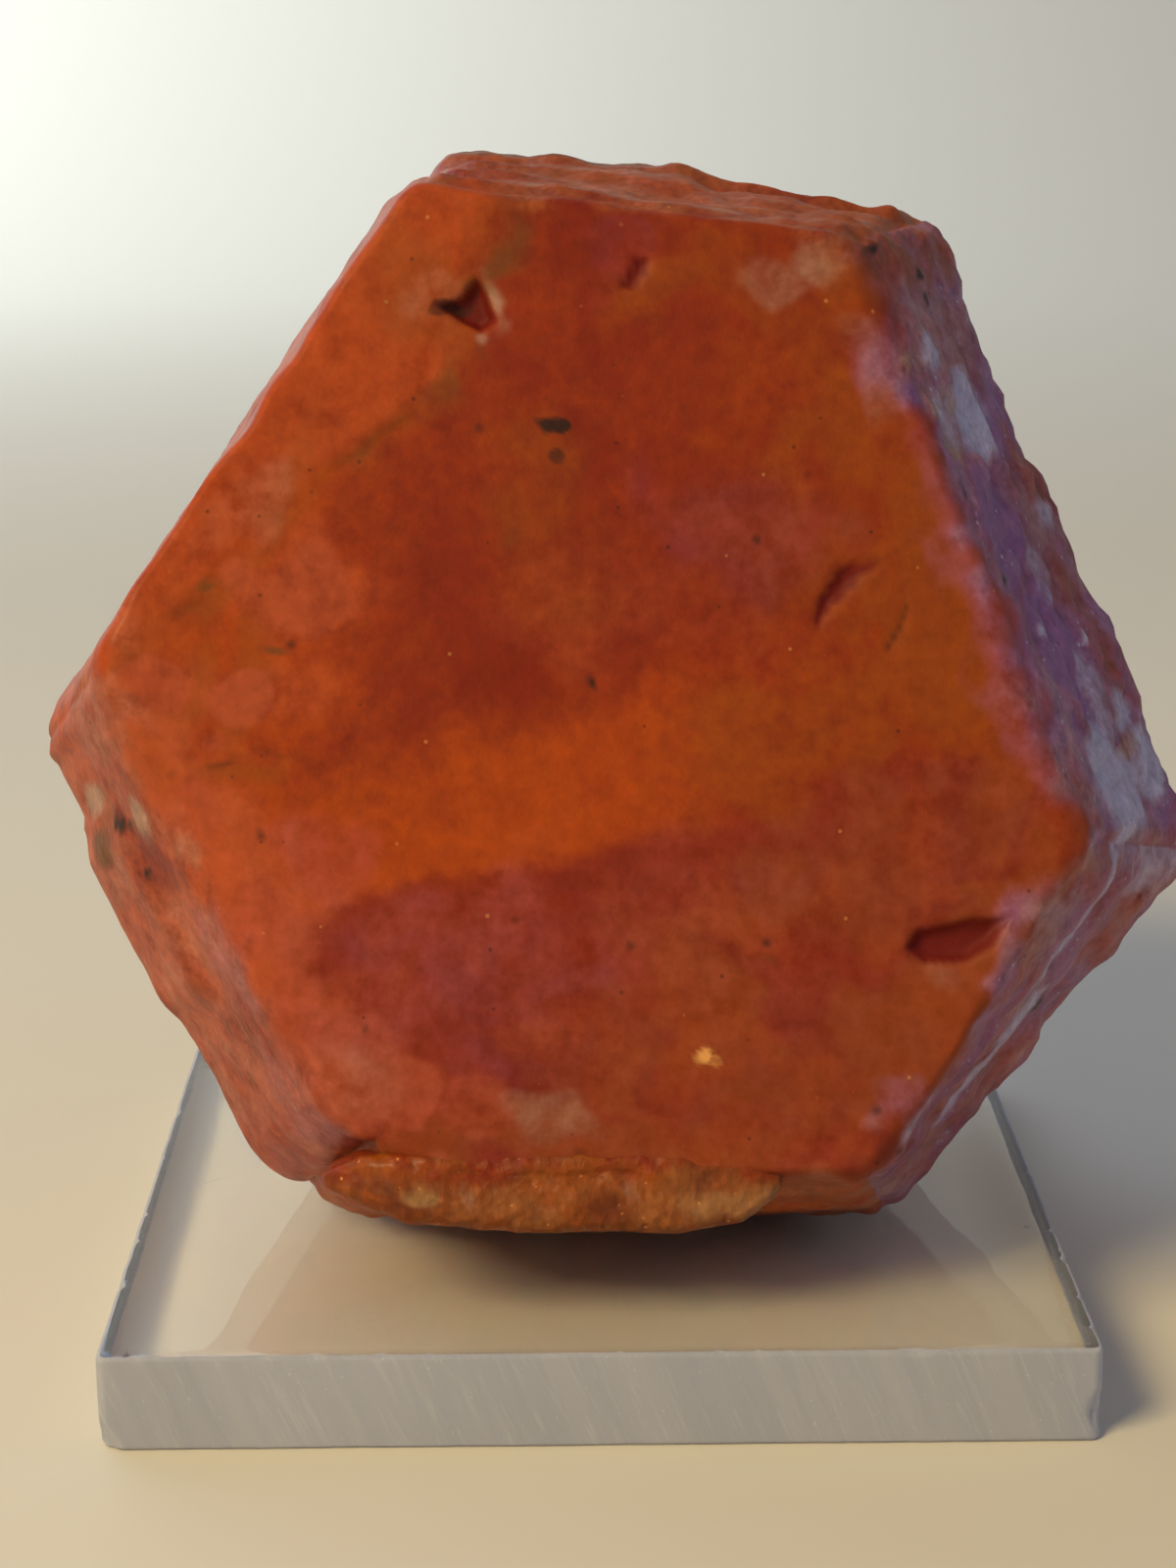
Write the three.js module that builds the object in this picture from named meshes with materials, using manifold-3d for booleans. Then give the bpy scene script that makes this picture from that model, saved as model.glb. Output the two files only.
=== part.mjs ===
// A rough ruby: one stout six-sided corundum crystal that leans back on a square of clear acrylic.
// Millimetres, +Z up. The origin is the centre of the plate's underside, and the crystal's broad
// front face looks towards -Y.

import * as THREE from 'three';
import { mergeVertices } from 'three/addons/utils/BufferGeometryUtils.js';
import Module from 'manifold-3d';

const wasm = await Module();
wasm.setup();

// The acrylic base
const PLATE_SIDE = 50;
const PLATE_THICKNESS = 5;
const PLATE_BEVEL = 0.25;
const PLATE_CORNER = 0.6;

// How the crystal stands on it
const LEAN = THREE.MathUtils.degToRad(17);
const FACE_FOOT_Y = -21.7;
const REST_GAP = 0.1;

// The crystal's own frame: u to the right and v up in the plane of the front face, depth behind it.
// Its long axis passes through AXIS. Each side is given as the angle of its outward normal, in
// degrees, and its distance from the axis, at the front face, at the widest section and at the back.
// The chip is how much is broken off the corner at the side's end, and how far along it reaches.
const AXIS = new THREE.Vector2(0.5, 31.5);
const GIRDLE_DEPTH = 13;
const BACK_DEPTH = 34;
const restOffset = (depth) => AXIS.y - depth * Math.tan(LEAN) - REST_GAP / Math.cos(LEAN);
const SIDES = [
  { name: 'right', front: [20.1, 20.4], girdle: [22.4, 27.6], back: [22, 21.1], chip: [0.2, 2] },
  { name: 'top', front: [83.1, 25.4], girdle: [82.5, 30.0], back: [83, 24.2], chip: [1.1, 4] },
  { name: 'upper_left', front: [146, 22.9], girdle: [146.8, 25.4], back: [146.5, 18.4], chip: [0.8, 3] },
  { name: 'lower_left', front: [208.3, 21.9], girdle: [207.3, 28.1], back: [208, 21.6], chip: [1.9, 4.5] },
  {
    name: 'bottom',
    front: [268.3, 23.8],
    girdle: [270, restOffset(GIRDLE_DEPTH)],
    back: [270, restOffset(BACK_DEPTH)],
    chip: [0.2, 2],
  },
  { name: 'lower_right', front: [325.6, 24.6], girdle: [318.7, 29.9], back: [320, 23.5], chip: [0.3, 2] },
];

// Wear on the edges between two sides, and round the front and back faces
const CORNER_REACH = 1.5;
const CORNER_WEAR = 0.4;
const FRONT_WEAR = 0.5;
const BACK_WEAR = 1.1;

// Growth steps: depths at which the sides step out towards the girdle, then in towards the back.
// Each rises over a short run, wanders in depth along the side, and comes and goes.
const STEP_DEPTHS = [0.9, 3.3, 6.2, 9.6, GIRDLE_DEPTH, 17, 21.6, 26.2, 30.4, BACK_DEPTH];
const STEP_RISE = 0.55;
const STEP_STRENGTH = 0.75;
const STEP_WANDER = 0.9;
const WANDER_WAVE = [6, 6, 40];
const STRENGTH_WAVE = [9, 9, 6];

// Relief dies away towards the worn edges, towards the corners, and where the bottom side rests
const EDGE_CALM = 2.5;
const CORNER_CALM = 2;
const REST_BEGINS = 9;
const REST_CALM = 3;

// Lumpy relief of the sides and the back, as [height, wavelength]
const SIDE_RELIEF = [[0.7, 7.5], [0.35, 3.2]];
const BACK_RELIEF = [[0.9, 8], [0.4, 3]];
const FRONT_RELIEF = [[0.14, 9]];
const BACK_CALM = 0.17;

// Raised and sunken places on the sides: where along the side and how deep they lie, half their
// size both ways, and how far they stand out. The slope is the share of that half size at their rim.
const PLACE_SLOPE = 0.45;
const PLACES = [
  { side: 'top', along: 2.5, depth: 10.5, half: [4.5, 4.5], out: 0.45 },
  { side: 'top', along: -9.5, depth: 9.5, half: [2.4, 5], out: -0.45 },
  { side: 'right', along: 8, depth: 12, half: [4.5, 4], out: -0.6 },
  { side: 'right', along: -8, depth: 12.5, half: [3, 3.5], out: 0.9 },
  { side: 'right', along: 16.5, depth: 12, half: [2.5, 4], out: 0.2 },
  { side: 'lower_right', along: 5, depth: 11.5, half: [2.5, 3], out: -0.4 },
  { side: 'lower_left', along: -1.5, depth: 11.5, half: [5, 5], out: 0.6 },
  { side: 'lower_left', along: -10, depth: 10.5, half: [2, 3.5], out: -0.9 },
];

// Growth terraces on the back face: size as a share of the face, shift of the centre, and rise
const TERRACE_SLOPE = 0.06;
const TERRACES = [
  { share: 0.74, shift: [1.5, -1], rise: 0.8 },
  { share: 0.45, shift: [-2.5, 2], rise: 0.7 },
];

// The crust under the front face: a ledge of small grown-on crystals, outlined from the axis
const CRUST_FRONT = 0.95;
const CRUST_BACK = 12.5;
const CRUST_BEVEL = 0.35;
const CRUST_OUTLINE = [
  [-12.9, -24.9], [-11.4, -26.3], [-9.3, -26.9], [-5.5, -26.8], [-1, -27], [3.6, -27.1],
  [7.4, -26.4], [8.0, -25.3], [6.6, -22.6], [-11.8, -22.6],
];

// Etched pits in the front face, outlined from the axis, with their depth and how far walls slope
const PITS = [
  {
    outline: [
      [15.3, -12.6], [15.8, -11.7], [18, -11.3], [20.5, -11.1], [19.7, -12.5], [18.3, -13.3], [16.1, -13.4],
    ],
    depth: 1.3,
    slope: 0.35,
  },
  {
    outline: [[10.8, 3.9], [11, 5.3], [12.1, 6.7], [14.2, 7.4], [13, 6.1], [11.8, 5]],
    depth: 0.8,
    slope: 0.22,
  },
  { outline: [[-8.4, 20.3], [-7, 20.8], [-6.3, 21.7], [-5.2, 19.5], [-6.2, 18.9]], depth: 1.0, slope: 0.35 },
  { outline: [[1.1, 21.3], [1.9, 22.8], [2.5, 22.7], [1.7, 21.1]], depth: 0.7, slope: 0.15 },
];

const PIT_HEADROOM = 0.4;

// How finely the crystal's surface is divided: points along each side, gathered towards its corners,
// rings in the end faces as shares of their size, and a pair of rings at each growth step
const POINTS_PER_SIDE = 16;
const GATHER = 0.55;
const FRONT_RINGS = [0.26, 0.5, 0.72, 0.88];
const BACK_RINGS = [0.88, 0.8, 0.72, 0.62, 0.5, 0.4, 0.26];
const STEP_LEAD = 0.05;
const STEP_RUN = 0.5;
const EDGE_RING = 1.6;

const MATERIALS = {
  ruby: new THREE.MeshStandardMaterial({ color: 0x9c3a1c, roughness: 0.42, metalness: 0 }),
  acrylic: new THREE.MeshStandardMaterial({
    color: 0xdfe6ea,
    roughness: 0.08,
    metalness: 0,
    transparent: true,
    opacity: 0.35,
  }),
};

// Small maths
const mix = (a, b, t) => a + (b - a) * t;
const smooth = (t) => {
  const x = THREE.MathUtils.clamp(t, 0, 1);
  return x * x * (3 - 2 * x);
};
const direction = (degrees) => {
  const a = THREE.MathUtils.degToRad(degrees);
  return new THREE.Vector2(Math.cos(a), Math.sin(a));
};

// A repeatable value between 0 and 1 for each point of a whole-number lattice
function latticeValue(i, j, k) {
  let h = Math.imul(i, 374761393) + Math.imul(j, 668265263) + Math.imul(k, 1440662683);
  h = Math.imul(h ^ (h >>> 13), 1274126177);
  return ((h ^ (h >>> 16)) >>> 0) / 4294967296;
}

// Smooth noise from -0.5 to 0.5: lattice values eased between the eight corners round the point
function noise(x, y, z) {
  const cell = [x, y, z].map(Math.floor);
  const t = [x - cell[0], y - cell[1], z - cell[2]].map(smooth);
  let sum = 0;
  for (let n = 0; n < 8; n += 1) {
    const bit = [n & 1, (n >> 1) & 1, (n >> 2) & 1];
    const weight = bit.reduce((w, b, axis) => w * (b ? t[axis] : 1 - t[axis]), 1);
    sum += weight * latticeValue(cell[0] + bit[0], cell[1] + bit[1], cell[2] + bit[2]);
  }
  return sum - 0.5;
}

const waveNoise = ([wx, wy, wz], point, depth) => noise(point.x / wx, point.y / wy, depth / wz);

const relief = (layers, x, y, z) => layers.reduce(
  (sum, [height, wave]) => sum + height * noise(x / wave, y / wave, z / wave),
  0,
);

// The angle and distance of a side's plane at a depth
function sidePlane(side, depth) {
  const inFront = depth < GIRDLE_DEPTH;
  const from = inFront ? side.front : side.girdle;
  const to = inFront ? side.girdle : side.back;
  const t = inFront ? depth / GIRDLE_DEPTH : (depth - GIRDLE_DEPTH) / (BACK_DEPTH - GIRDLE_DEPTH);
  return { normal: direction(mix(from[0], to[0], t)), offset: mix(from[1], to[1], t) };
}

// Where the planes of two neighbouring sides cross, measured from the axis
function cornerAt(a, b) {
  const det = a.normal.x * b.normal.y - a.normal.y * b.normal.x;
  return new THREE.Vector2(
    (a.offset * b.normal.y - b.offset * a.normal.y) / det,
    (b.offset * a.normal.x - a.offset * b.normal.x) / det,
  );
}

// The depth that a growth step holds the surface at, for a point part of the way to the next step
function steppedDepth(depth) {
  const next = STEP_DEPTHS.findIndex((d) => d > depth);
  if (next < 1) {
    return depth;
  }
  const from = STEP_DEPTHS[next - 1];
  const to = STEP_DEPTHS[next];
  const rise = smooth((depth - from) / STEP_RISE);
  return mix(from, to, rise);
}

// How far a named place lifts the side's surface at a point
function placeHeight(place, side, along, depth) {
  if (place.side !== side.name) {
    return 0;
  }
  const a = Math.abs(along - place.along) / place.half[0];
  const d = Math.abs(depth - place.depth) / place.half[1];
  const reach = 1 + PLACE_SLOPE / 2;
  return place.out * smooth((reach - a) / PLACE_SLOPE) * smooth((reach - d) / PLACE_SLOPE);
}

// How deep a corner's chip is at a distance from the corner
const chipDepth = ([deep, reach], distance) => deep * Math.max(0, 1 - distance / reach) ** 1.5;

// One point of the crystal's skin. Round the section: which side, and how far along it from 0 to 1.
// Across it: a share of the way out from the axis, an inset for worn edges, and the depth.
function skinPoint(index, along, ring) {
  const side = SIDES[index];
  const before = SIDES[(index + 5) % 6];
  const after = SIDES[(index + 1) % 6];
  const fromFront = ring.depth - STEP_DEPTHS[0];
  const middle = smooth(fromFront / EDGE_CALM) * smooth((BACK_DEPTH - FRONT_WEAR - ring.depth) / EDGE_CALM);
  const here = sidePlane(side, ring.depth);
  const start = cornerAt(sidePlane(before, ring.depth), here);
  const end = cornerAt(here, sidePlane(after, ring.depth));
  const point = start.clone().lerp(end, along);
  const length = start.distanceTo(end);
  const toCorner = Math.min(along, 1 - along) * length;
  const chip = chipDepth(before.chip, along * length) + chipDepth(side.chip, (1 - along) * length);
  const wear = CORNER_WEAR * Math.max(0, 1 - toCorner / CORNER_REACH) ** 2 + chip * middle;
  const outward = point.clone().normalize();
  const fade = smooth(toCorner / CORNER_CALM);

  const depth = ring.depth + STEP_WANDER * waveNoise(WANDER_WAVE, point, ring.depth) * middle;
  const resting = side.name === 'bottom' ? smooth((ring.depth - REST_BEGINS) / REST_CALM) : 0;
  let lift = -wear - (ring.inset ?? 0);
  if (ring.share === 1) {
    const stepped = sidePlane(side, steppedDepth(ring.depth)).offset - here.offset;
    const strength = STEP_STRENGTH * smooth(0.5 + 1.6 * waveNoise(STRENGTH_WAVE, point, ring.depth));
    const lumps = relief(SIDE_RELIEF, point.x, point.y, depth);
    const steps = stepped * strength * fade;
    const places = PLACES.reduce(
      (sum, place) => sum + placeHeight(place, side, (along - 0.5) * length + middleAlong(start, end), depth),
      0,
    );
    lift += (steps + lumps * middle) * (1 - resting) + places * fade * middle;
  }
  point.multiplyScalar(ring.share).addScaledVector(outward, lift);

  let height = -depth;
  if (ring.face === 'front') {
    height += relief(FRONT_RELIEF, point.x, point.y, 0);
  }
  if (ring.face === 'back') {
    height -= backRise(point, ring.share);
  }
  const u = AXIS.x + point.x;
  const lowest = -height * Math.tan(LEAN) + REST_GAP / Math.cos(LEAN);
  const v = Math.max(AXIS.y + point.y, lowest);
  return [u, v, height];
}

// Where the middle of a side lies along it, measured from the foot of the axis on its plane
function middleAlong(start, end) {
  const run = end.clone().sub(start).normalize();
  return start.clone().add(end).multiplyScalar(0.5).dot(run);
}

// The back face rises in two growth terraces, and is lumpy
function backRise(point, share) {
  const terraces = TERRACES.reduce((sum, { share: size, shift, rise }) => {
    const reach = Math.max(...SIDES.map((side) => {
      const { normal, offset } = sidePlane(side, BACK_DEPTH);
      return (normal.x * (point.x - shift[0]) + normal.y * (point.y - shift[1])) / offset;
    }));
    return sum + rise * smooth((size - reach) / TERRACE_SLOPE + 0.5);
  }, 0);
  return terraces + relief(BACK_RELIEF, point.x, point.y, BACK_DEPTH) * smooth((1 - share) / BACK_CALM);
}

// The rings of the skin, from the middle of the front face over the edges to the middle of the back
function skinRings() {
  const sides = STEP_DEPTHS.slice(1, -1).flatMap((depth) => [depth - STEP_LEAD, depth + STEP_RUN]);
  return [
    ...FRONT_RINGS.map((share) => ({ share, depth: 0, face: 'front' })),
    { share: 1, inset: FRONT_WEAR, depth: 0 },
    { share: 1, inset: FRONT_WEAR * 0.25, depth: FRONT_WEAR * 0.25 },
    { share: 1, depth: FRONT_WEAR },
    { share: 1, depth: EDGE_RING },
    ...sides.map((depth) => ({ share: 1, depth })),
    { share: 1, depth: BACK_DEPTH - BACK_WEAR },
    { share: 1, inset: BACK_WEAR * 0.3, depth: BACK_DEPTH - BACK_WEAR * 0.3 },
    { share: 1, inset: BACK_WEAR, depth: BACK_DEPTH },
    ...BACK_RINGS.map((share) => ({ share, depth: BACK_DEPTH, face: 'back' })),
  ];
}

// Points along a side, closer together towards its corners
const alongSide = (n) => {
  const t = n / POINTS_PER_SIDE;
  return t - GATHER * Math.sin(2 * Math.PI * t) / (2 * Math.PI);
};

// The skin as a closed solid: rings of points joined by triangles, and a fan in each end face
function crystalSkin() {
  const rings = skinRings();
  const around = SIDES.length * POINTS_PER_SIDE;
  const points = [];
  rings.forEach((ring) => {
    for (let n = 0; n < around; n += 1) {
      points.push(skinPoint(Math.floor(n / POINTS_PER_SIDE), alongSide(n % POINTS_PER_SIDE), ring));
    }
  });
  const last = points.length;
  points.push([AXIS.x, AXIS.y, relief(FRONT_RELIEF, 0, 0, 0)]);
  points.push([AXIS.x, AXIS.y, -BACK_DEPTH - backRise(new THREE.Vector2(), 0)]);

  const triangles = [];
  for (let n = 0; n < around; n += 1) {
    const m = (n + 1) % around;
    triangles.push([last, n, m]);
    for (let r = 0; r + 1 < rings.length; r += 1) {
      const a = r * around;
      const b = a + around;
      triangles.push([a + n, b + n, b + m], [a + n, b + m, a + m]);
    }
    const rim = (rings.length - 1) * around;
    triangles.push([rim + n, last + 1, rim + m]);
  }
  return new wasm.Manifold(new wasm.Mesh({
    numProp: 3,
    vertProperties: new Float32Array(points.flat()),
    triVerts: new Uint32Array(triangles.flat()),
  }));
}

// A three.js geometry as a solid
function solid(geometry) {
  geometry.deleteAttribute('normal');
  geometry.deleteAttribute('uv');
  const merged = mergeVertices(geometry, 1e-4);
  return new wasm.Manifold(new wasm.Mesh({
    numProp: 3,
    vertProperties: new Float32Array(merged.attributes.position.array),
    triVerts: new Uint32Array(merged.index.array),
  }));
}

// A solid back as a three.js geometry, with flat facets
function facets(body) {
  const { vertProperties, triVerts } = body.getMesh();
  const indexed = new THREE.BufferGeometry();
  indexed.setAttribute('position', new THREE.BufferAttribute(vertProperties, 3));
  indexed.setIndex(new THREE.BufferAttribute(triVerts, 1));
  const loose = indexed.toNonIndexed();
  loose.computeVertexNormals();
  return loose;
}

const outlineShape = (outline) => new THREE.Shape(
  outline.map(([x, y]) => new THREE.Vector2(AXIS.x + x, AXIS.y + y)),
);

// The ledge of crust: its outline carried back from just behind the front face
function crustLedge() {
  const geometry = new THREE.ExtrudeGeometry(outlineShape(CRUST_OUTLINE), {
    depth: CRUST_BACK - CRUST_FRONT - 2 * CRUST_BEVEL,
    bevelEnabled: true,
    bevelThickness: CRUST_BEVEL,
    bevelSize: CRUST_BEVEL,
    bevelOffset: -CRUST_BEVEL,
    bevelSegments: 1,
  });
  geometry.translate(0, 0, CRUST_BEVEL - CRUST_BACK);
  return solid(geometry);
}

// A pit: the space to take away, open at the face and narrower at its floor
function pitSpace({ outline, depth, slope }) {
  const geometry = new THREE.ExtrudeGeometry(outlineShape(outline), {
    depth: PIT_HEADROOM,
    bevelEnabled: true,
    bevelThickness: depth,
    bevelSize: slope,
    bevelOffset: -slope,
    bevelSegments: 2,
  });
  return solid(geometry);
}

function rubyCrystal() {
  const whole = PITS.reduce((body, pit) => body.subtract(pitSpace(pit)), crystalSkin().add(crustLedge()));
  const mesh = new THREE.Mesh(facets(whole), MATERIALS.ruby);
  mesh.name = 'ruby_crystal';
  return mesh;
}

// The plate: a square with softly rounded corners and a fine bevel round its two faces
function acrylicBase() {
  const half = PLATE_SIDE / 2 - PLATE_BEVEL;
  const r = PLATE_CORNER;
  const square = new THREE.Shape();
  square.absarc(half - r, half - r, r, 0, Math.PI / 2);
  square.absarc(r - half, half - r, r, Math.PI / 2, Math.PI);
  square.absarc(r - half, r - half, r, Math.PI, 1.5 * Math.PI);
  square.absarc(half - r, r - half, r, 1.5 * Math.PI, 2 * Math.PI);
  const geometry = new THREE.ExtrudeGeometry(square, {
    depth: PLATE_THICKNESS - 2 * PLATE_BEVEL,
    curveSegments: 4,
    bevelEnabled: true,
    bevelThickness: PLATE_BEVEL,
    bevelSize: PLATE_BEVEL,
    bevelSegments: 1,
  });
  geometry.translate(0, 0, PLATE_BEVEL);
  const mesh = new THREE.Mesh(geometry, MATERIALS.acrylic);
  mesh.name = 'acrylic_base';
  return mesh;
}

// The crystal's frame stands on the plate's top, turned up and then leant back
const leaning = new THREE.Group();
leaning.position.set(0, FACE_FOOT_Y, PLATE_THICKNESS);
leaning.rotation.x = Math.PI / 2 - LEAN;
leaning.add(rubyCrystal());

const part = new THREE.Group();
part.add(acrylicBase(), leaning);

export default part;
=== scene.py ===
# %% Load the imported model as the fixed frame
import math

import bpy
import numpy as np
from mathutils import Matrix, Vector


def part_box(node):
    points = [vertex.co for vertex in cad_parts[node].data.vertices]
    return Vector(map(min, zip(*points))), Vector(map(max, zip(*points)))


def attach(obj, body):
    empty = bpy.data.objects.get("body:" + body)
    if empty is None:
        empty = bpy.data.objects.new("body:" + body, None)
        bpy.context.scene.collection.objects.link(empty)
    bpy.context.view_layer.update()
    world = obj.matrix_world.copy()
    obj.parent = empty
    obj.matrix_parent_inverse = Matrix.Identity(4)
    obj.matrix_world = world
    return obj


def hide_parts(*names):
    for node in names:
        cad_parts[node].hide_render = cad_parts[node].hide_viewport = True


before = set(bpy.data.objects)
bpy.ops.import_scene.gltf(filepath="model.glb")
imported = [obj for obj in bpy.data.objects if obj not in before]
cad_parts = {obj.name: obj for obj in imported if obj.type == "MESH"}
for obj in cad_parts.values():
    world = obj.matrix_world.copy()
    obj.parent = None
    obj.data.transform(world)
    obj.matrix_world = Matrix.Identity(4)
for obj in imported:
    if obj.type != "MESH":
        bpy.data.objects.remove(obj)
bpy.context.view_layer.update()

MM = 0.001

# %% [markdown]
# The camera comes first, because everything else is judged through it. It was fitted to the four
# visible corners of the plate's outline, so its numbers are real sizes: a lens 67.5 mm long on a
# 36 mm frame, 158 mm in front of the plate's centre and 70 mm up, looking down 15 degrees.

# %% Camera
LENS_MM = 67.5
FRAME_MM = 36.0
CAMERA_PLACE_MM = (-2.402, -157.709, 69.791)
CAMERA_DOWN = math.radians(15.03)
CAMERA_TURN = math.radians(-0.856)
CAMERA_ROLL = math.radians(0.189)


def make_camera():
    """A camera that looks along +Y, tipped down, then turned about Z; the roll is about its own axis."""
    data = bpy.data.cameras.new("camera")
    data.lens = LENS_MM
    data.sensor_width = FRAME_MM
    data.clip_start = 0.01
    camera = bpy.data.objects.new("camera", data)
    camera.location = [c * MM for c in CAMERA_PLACE_MM]
    camera.rotation_mode = "XYZ"
    camera.rotation_euler = (math.pi / 2 - CAMERA_DOWN, CAMERA_ROLL, CAMERA_TURN)
    bpy.context.scene.collection.objects.link(camera)
    bpy.context.scene.camera = camera
    return camera


make_camera()
print("camera at", CAMERA_PLACE_MM, "mm")

# %% [markdown]
# The crystal leans back on its base, so its shape is worked out in a frame of its own: u to the
# right and v up in the plane of the broad front face, and depth behind that face. One function
# takes such points to the world. It could also be an object turned by 17 degrees, but a finished
# piece sits unturned at the origin, so the turn goes into the vertices.

# %% The crystal's own frame, in millimetres
LEAN = math.radians(17)
PLATE_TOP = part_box("acrylic_base")[1][2] / MM
FACE_FOOT_Y = -21.7
AXIS_U, AXIS_V = 0.5, 31.5
REST_GAP = 0.1


def to_world(u, v, depth):
    """World millimetres of points given in the crystal's frame: v climbs and falls back by the
    lean, and depth runs back and down, square to it."""
    x = u
    y = FACE_FOOT_Y + v * math.sin(LEAN) + depth * math.cos(LEAN)
    z = PLATE_TOP + v * math.cos(LEAN) - depth * math.sin(LEAN)
    return np.stack([x, y, z], axis=-1)


def smooth(t):
    """Eases from 0 to 1: 3t^2 - 2t^3 between its ends, and flat outside them."""
    t = np.clip(t, 0.0, 1.0)
    return t * t * (3.0 - 2.0 * t)


print("plate top at", round(float(PLATE_TOP), 3), "mm")

# %% [markdown]
# Natural relief needs noise that is the same on every run. Each point of a whole-number lattice
# gets a value from a small integer hash, and a point between them takes the eased mean of the eight
# corners round it. Blender's own noise texture looks alike, but it can't move a vertex from numpy.

# %% Repeatable noise
AXIS_JUMP, TINT_JUMP = 17, 101
FAR = 1e9
USUAL_GAP = 0.55


def lattice_value(i, j, k):
    """A value from 0 to 1 for each lattice point: products of primes, mixed by shifts and xors."""
    words = [a.astype(np.int64).astype(np.uint32) for a in (i, j, k)]
    h = words[0] * np.uint32(374761393) + words[1] * np.uint32(668265263)
    h = h + words[2] * np.uint32(1440662683)
    h = (h ^ (h >> np.uint32(13))) * np.uint32(1274126177)
    return (h ^ (h >> np.uint32(16))).astype(np.float64) / 2.0 ** 32


def noise(x, y, z):
    """Smooth noise from -0.5 to 0.5: the eased mean of the eight lattice values round a point."""
    x, y, z = np.broadcast_arrays(x, y, z)
    cell = [np.floor(a) for a in (x, y, z)]
    t = [smooth(a - c) for a, c in zip((x, y, z), cell)]
    total = np.zeros(x.shape)
    for corner in range(8):
        bits = [(corner >> axis) & 1 for axis in range(3)]
        weight = np.ones(x.shape)
        for axis, bit in enumerate(bits):
            weight = weight * (t[axis] if bit else 1.0 - t[axis])
        total += weight * lattice_value(*(c + b for c, b in zip(cell, bits)))
    return total - 0.5


def relief(layers, x, y, z):
    """A sum of noises, each given as (height, wavelength)."""
    return sum(height * noise(x / wave, y / wave, z / wave) for height, wave in layers)


def cells(x, y, z):
    """Distance to the nearest of one random point per lattice cell, and that point's own value:
    the rounded grains of a sugary surface."""
    base = [np.floor(a) for a in np.broadcast_arrays(x, y, z)]
    nearest = np.full(base[0].shape, FAR)
    tint = np.zeros(base[0].shape)
    for step in np.ndindex(3, 3, 3):
        cell = [b + s - 1 for b, s in zip(base, step)]
        gap = 0.0
        for axis, at in enumerate((x, y, z)):
            turned = [cell[(n + axis) % 3] + AXIS_JUMP * axis for n in range(3)]
            gap = gap + (cell[axis] + lattice_value(*turned) - at) ** 2
        gap = np.sqrt(gap)
        closer = gap < nearest
        tint = np.where(closer, lattice_value(*(c + TINT_JUMP for c in cell)), tint)
        nearest = np.where(closer, gap, nearest)
    return nearest, tint


print("noise at a test point:", round(float(noise(np.array(1.3), 2.6, 3.9)), 4))

# %% [markdown]
# A ruby crystal is a stout six-sided barrel. Across its long axis it is an irregular hexagon, so
# each side is given as the angle and distance of its plane at three depths: the front face, the
# girdle where it is widest, and the back. Neighbouring planes cross at the corners, which turns six
# lines of numbers into the whole solid. Modelling it from a cylinder and pulling corners about
# would hide those angles.

# %% The six sides
GIRDLE_DEPTH = 13.0
BACK_DEPTH = 34.0


def rest_offset(depth):
    """How far below the axis the plate's top is at a depth, less the gap that the crystal keeps."""
    return AXIS_V - depth * math.tan(LEAN) - REST_GAP / math.cos(LEAN)


SIDE_NAMES = ["right", "top", "upper_left", "lower_left", "bottom", "lower_right"]
FRONT_PLANES = [(20.1, 20.4), (83.1, 25.4), (146, 22.9), (208.3, 21.9), (268.3, 23.8), (325.6, 24.6)]
GIRDLE_PLANES = [
    (22.4, 27.6), (82.5, 30.0), (146.8, 25.4), (207.3, 28.1), (270, rest_offset(GIRDLE_DEPTH)),
    (318.7, 29.9),
]
BACK_PLANES = [
    (22, 21.1), (83, 24.2), (146.5, 18.4), (208, 21.6), (270, rest_offset(BACK_DEPTH)), (320, 23.5),
]
# each chip is its depth and reach, at the corner where a side ends; then the share that the front keeps
CHIPS = [(0.2, 2.0), (1.1, 4.0), (0.4, 3.0), (1.9, 4.5), (0.2, 2.0), (0.3, 2.0)]
FRONT_CHIPS = [0.0, 0.0, 0.3, 0.75, 0.0, 0.0]


def side_planes(depth):
    """Unit normals and offsets of the six sides at each depth, in straight runs between the three
    depths where they are given. Shapes are (6, depths, 2) and (6, depths)."""
    stops = [0.0, GIRDLE_DEPTH, BACK_DEPTH]
    levels = np.array([FRONT_PLANES, GIRDLE_PLANES, BACK_PLANES])
    angles = np.stack([np.radians(np.interp(depth, stops, levels[:, s, 0])) for s in range(6)])
    offsets = np.stack([np.interp(depth, stops, levels[:, s, 1]) for s in range(6)])
    return np.stack([np.cos(angles), np.sin(angles)], axis=-1), offsets


def corners(depth):
    """Where each side meets the next one round, measured from the axis: two lines crossing."""
    normal, offset = side_planes(depth)
    after, after_offset = np.roll(normal, -1, axis=0), np.roll(offset, -1, axis=0)
    det = normal[..., 0] * after[..., 1] - normal[..., 1] * after[..., 0]
    x = (offset * after[..., 1] - after_offset * normal[..., 1]) / det
    y = (after_offset * normal[..., 0] - offset * after[..., 0]) / det
    return np.stack([x, y], axis=-1)


print("front face corners, mm:", np.round(corners(np.array([0.0]))[:, 0], 1).tolist())

# %% [markdown]
# Growth leaves marks: ledges where the sides step out to the girdle and in to the back, lumps and
# dents, chipped corners, and a sugary grain between. They are heights added to the flat sides, each
# from its own small function, so that one can be turned down without touching the rest. Sculpting
# would do too, but couldn't be read or repeated.

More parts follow.
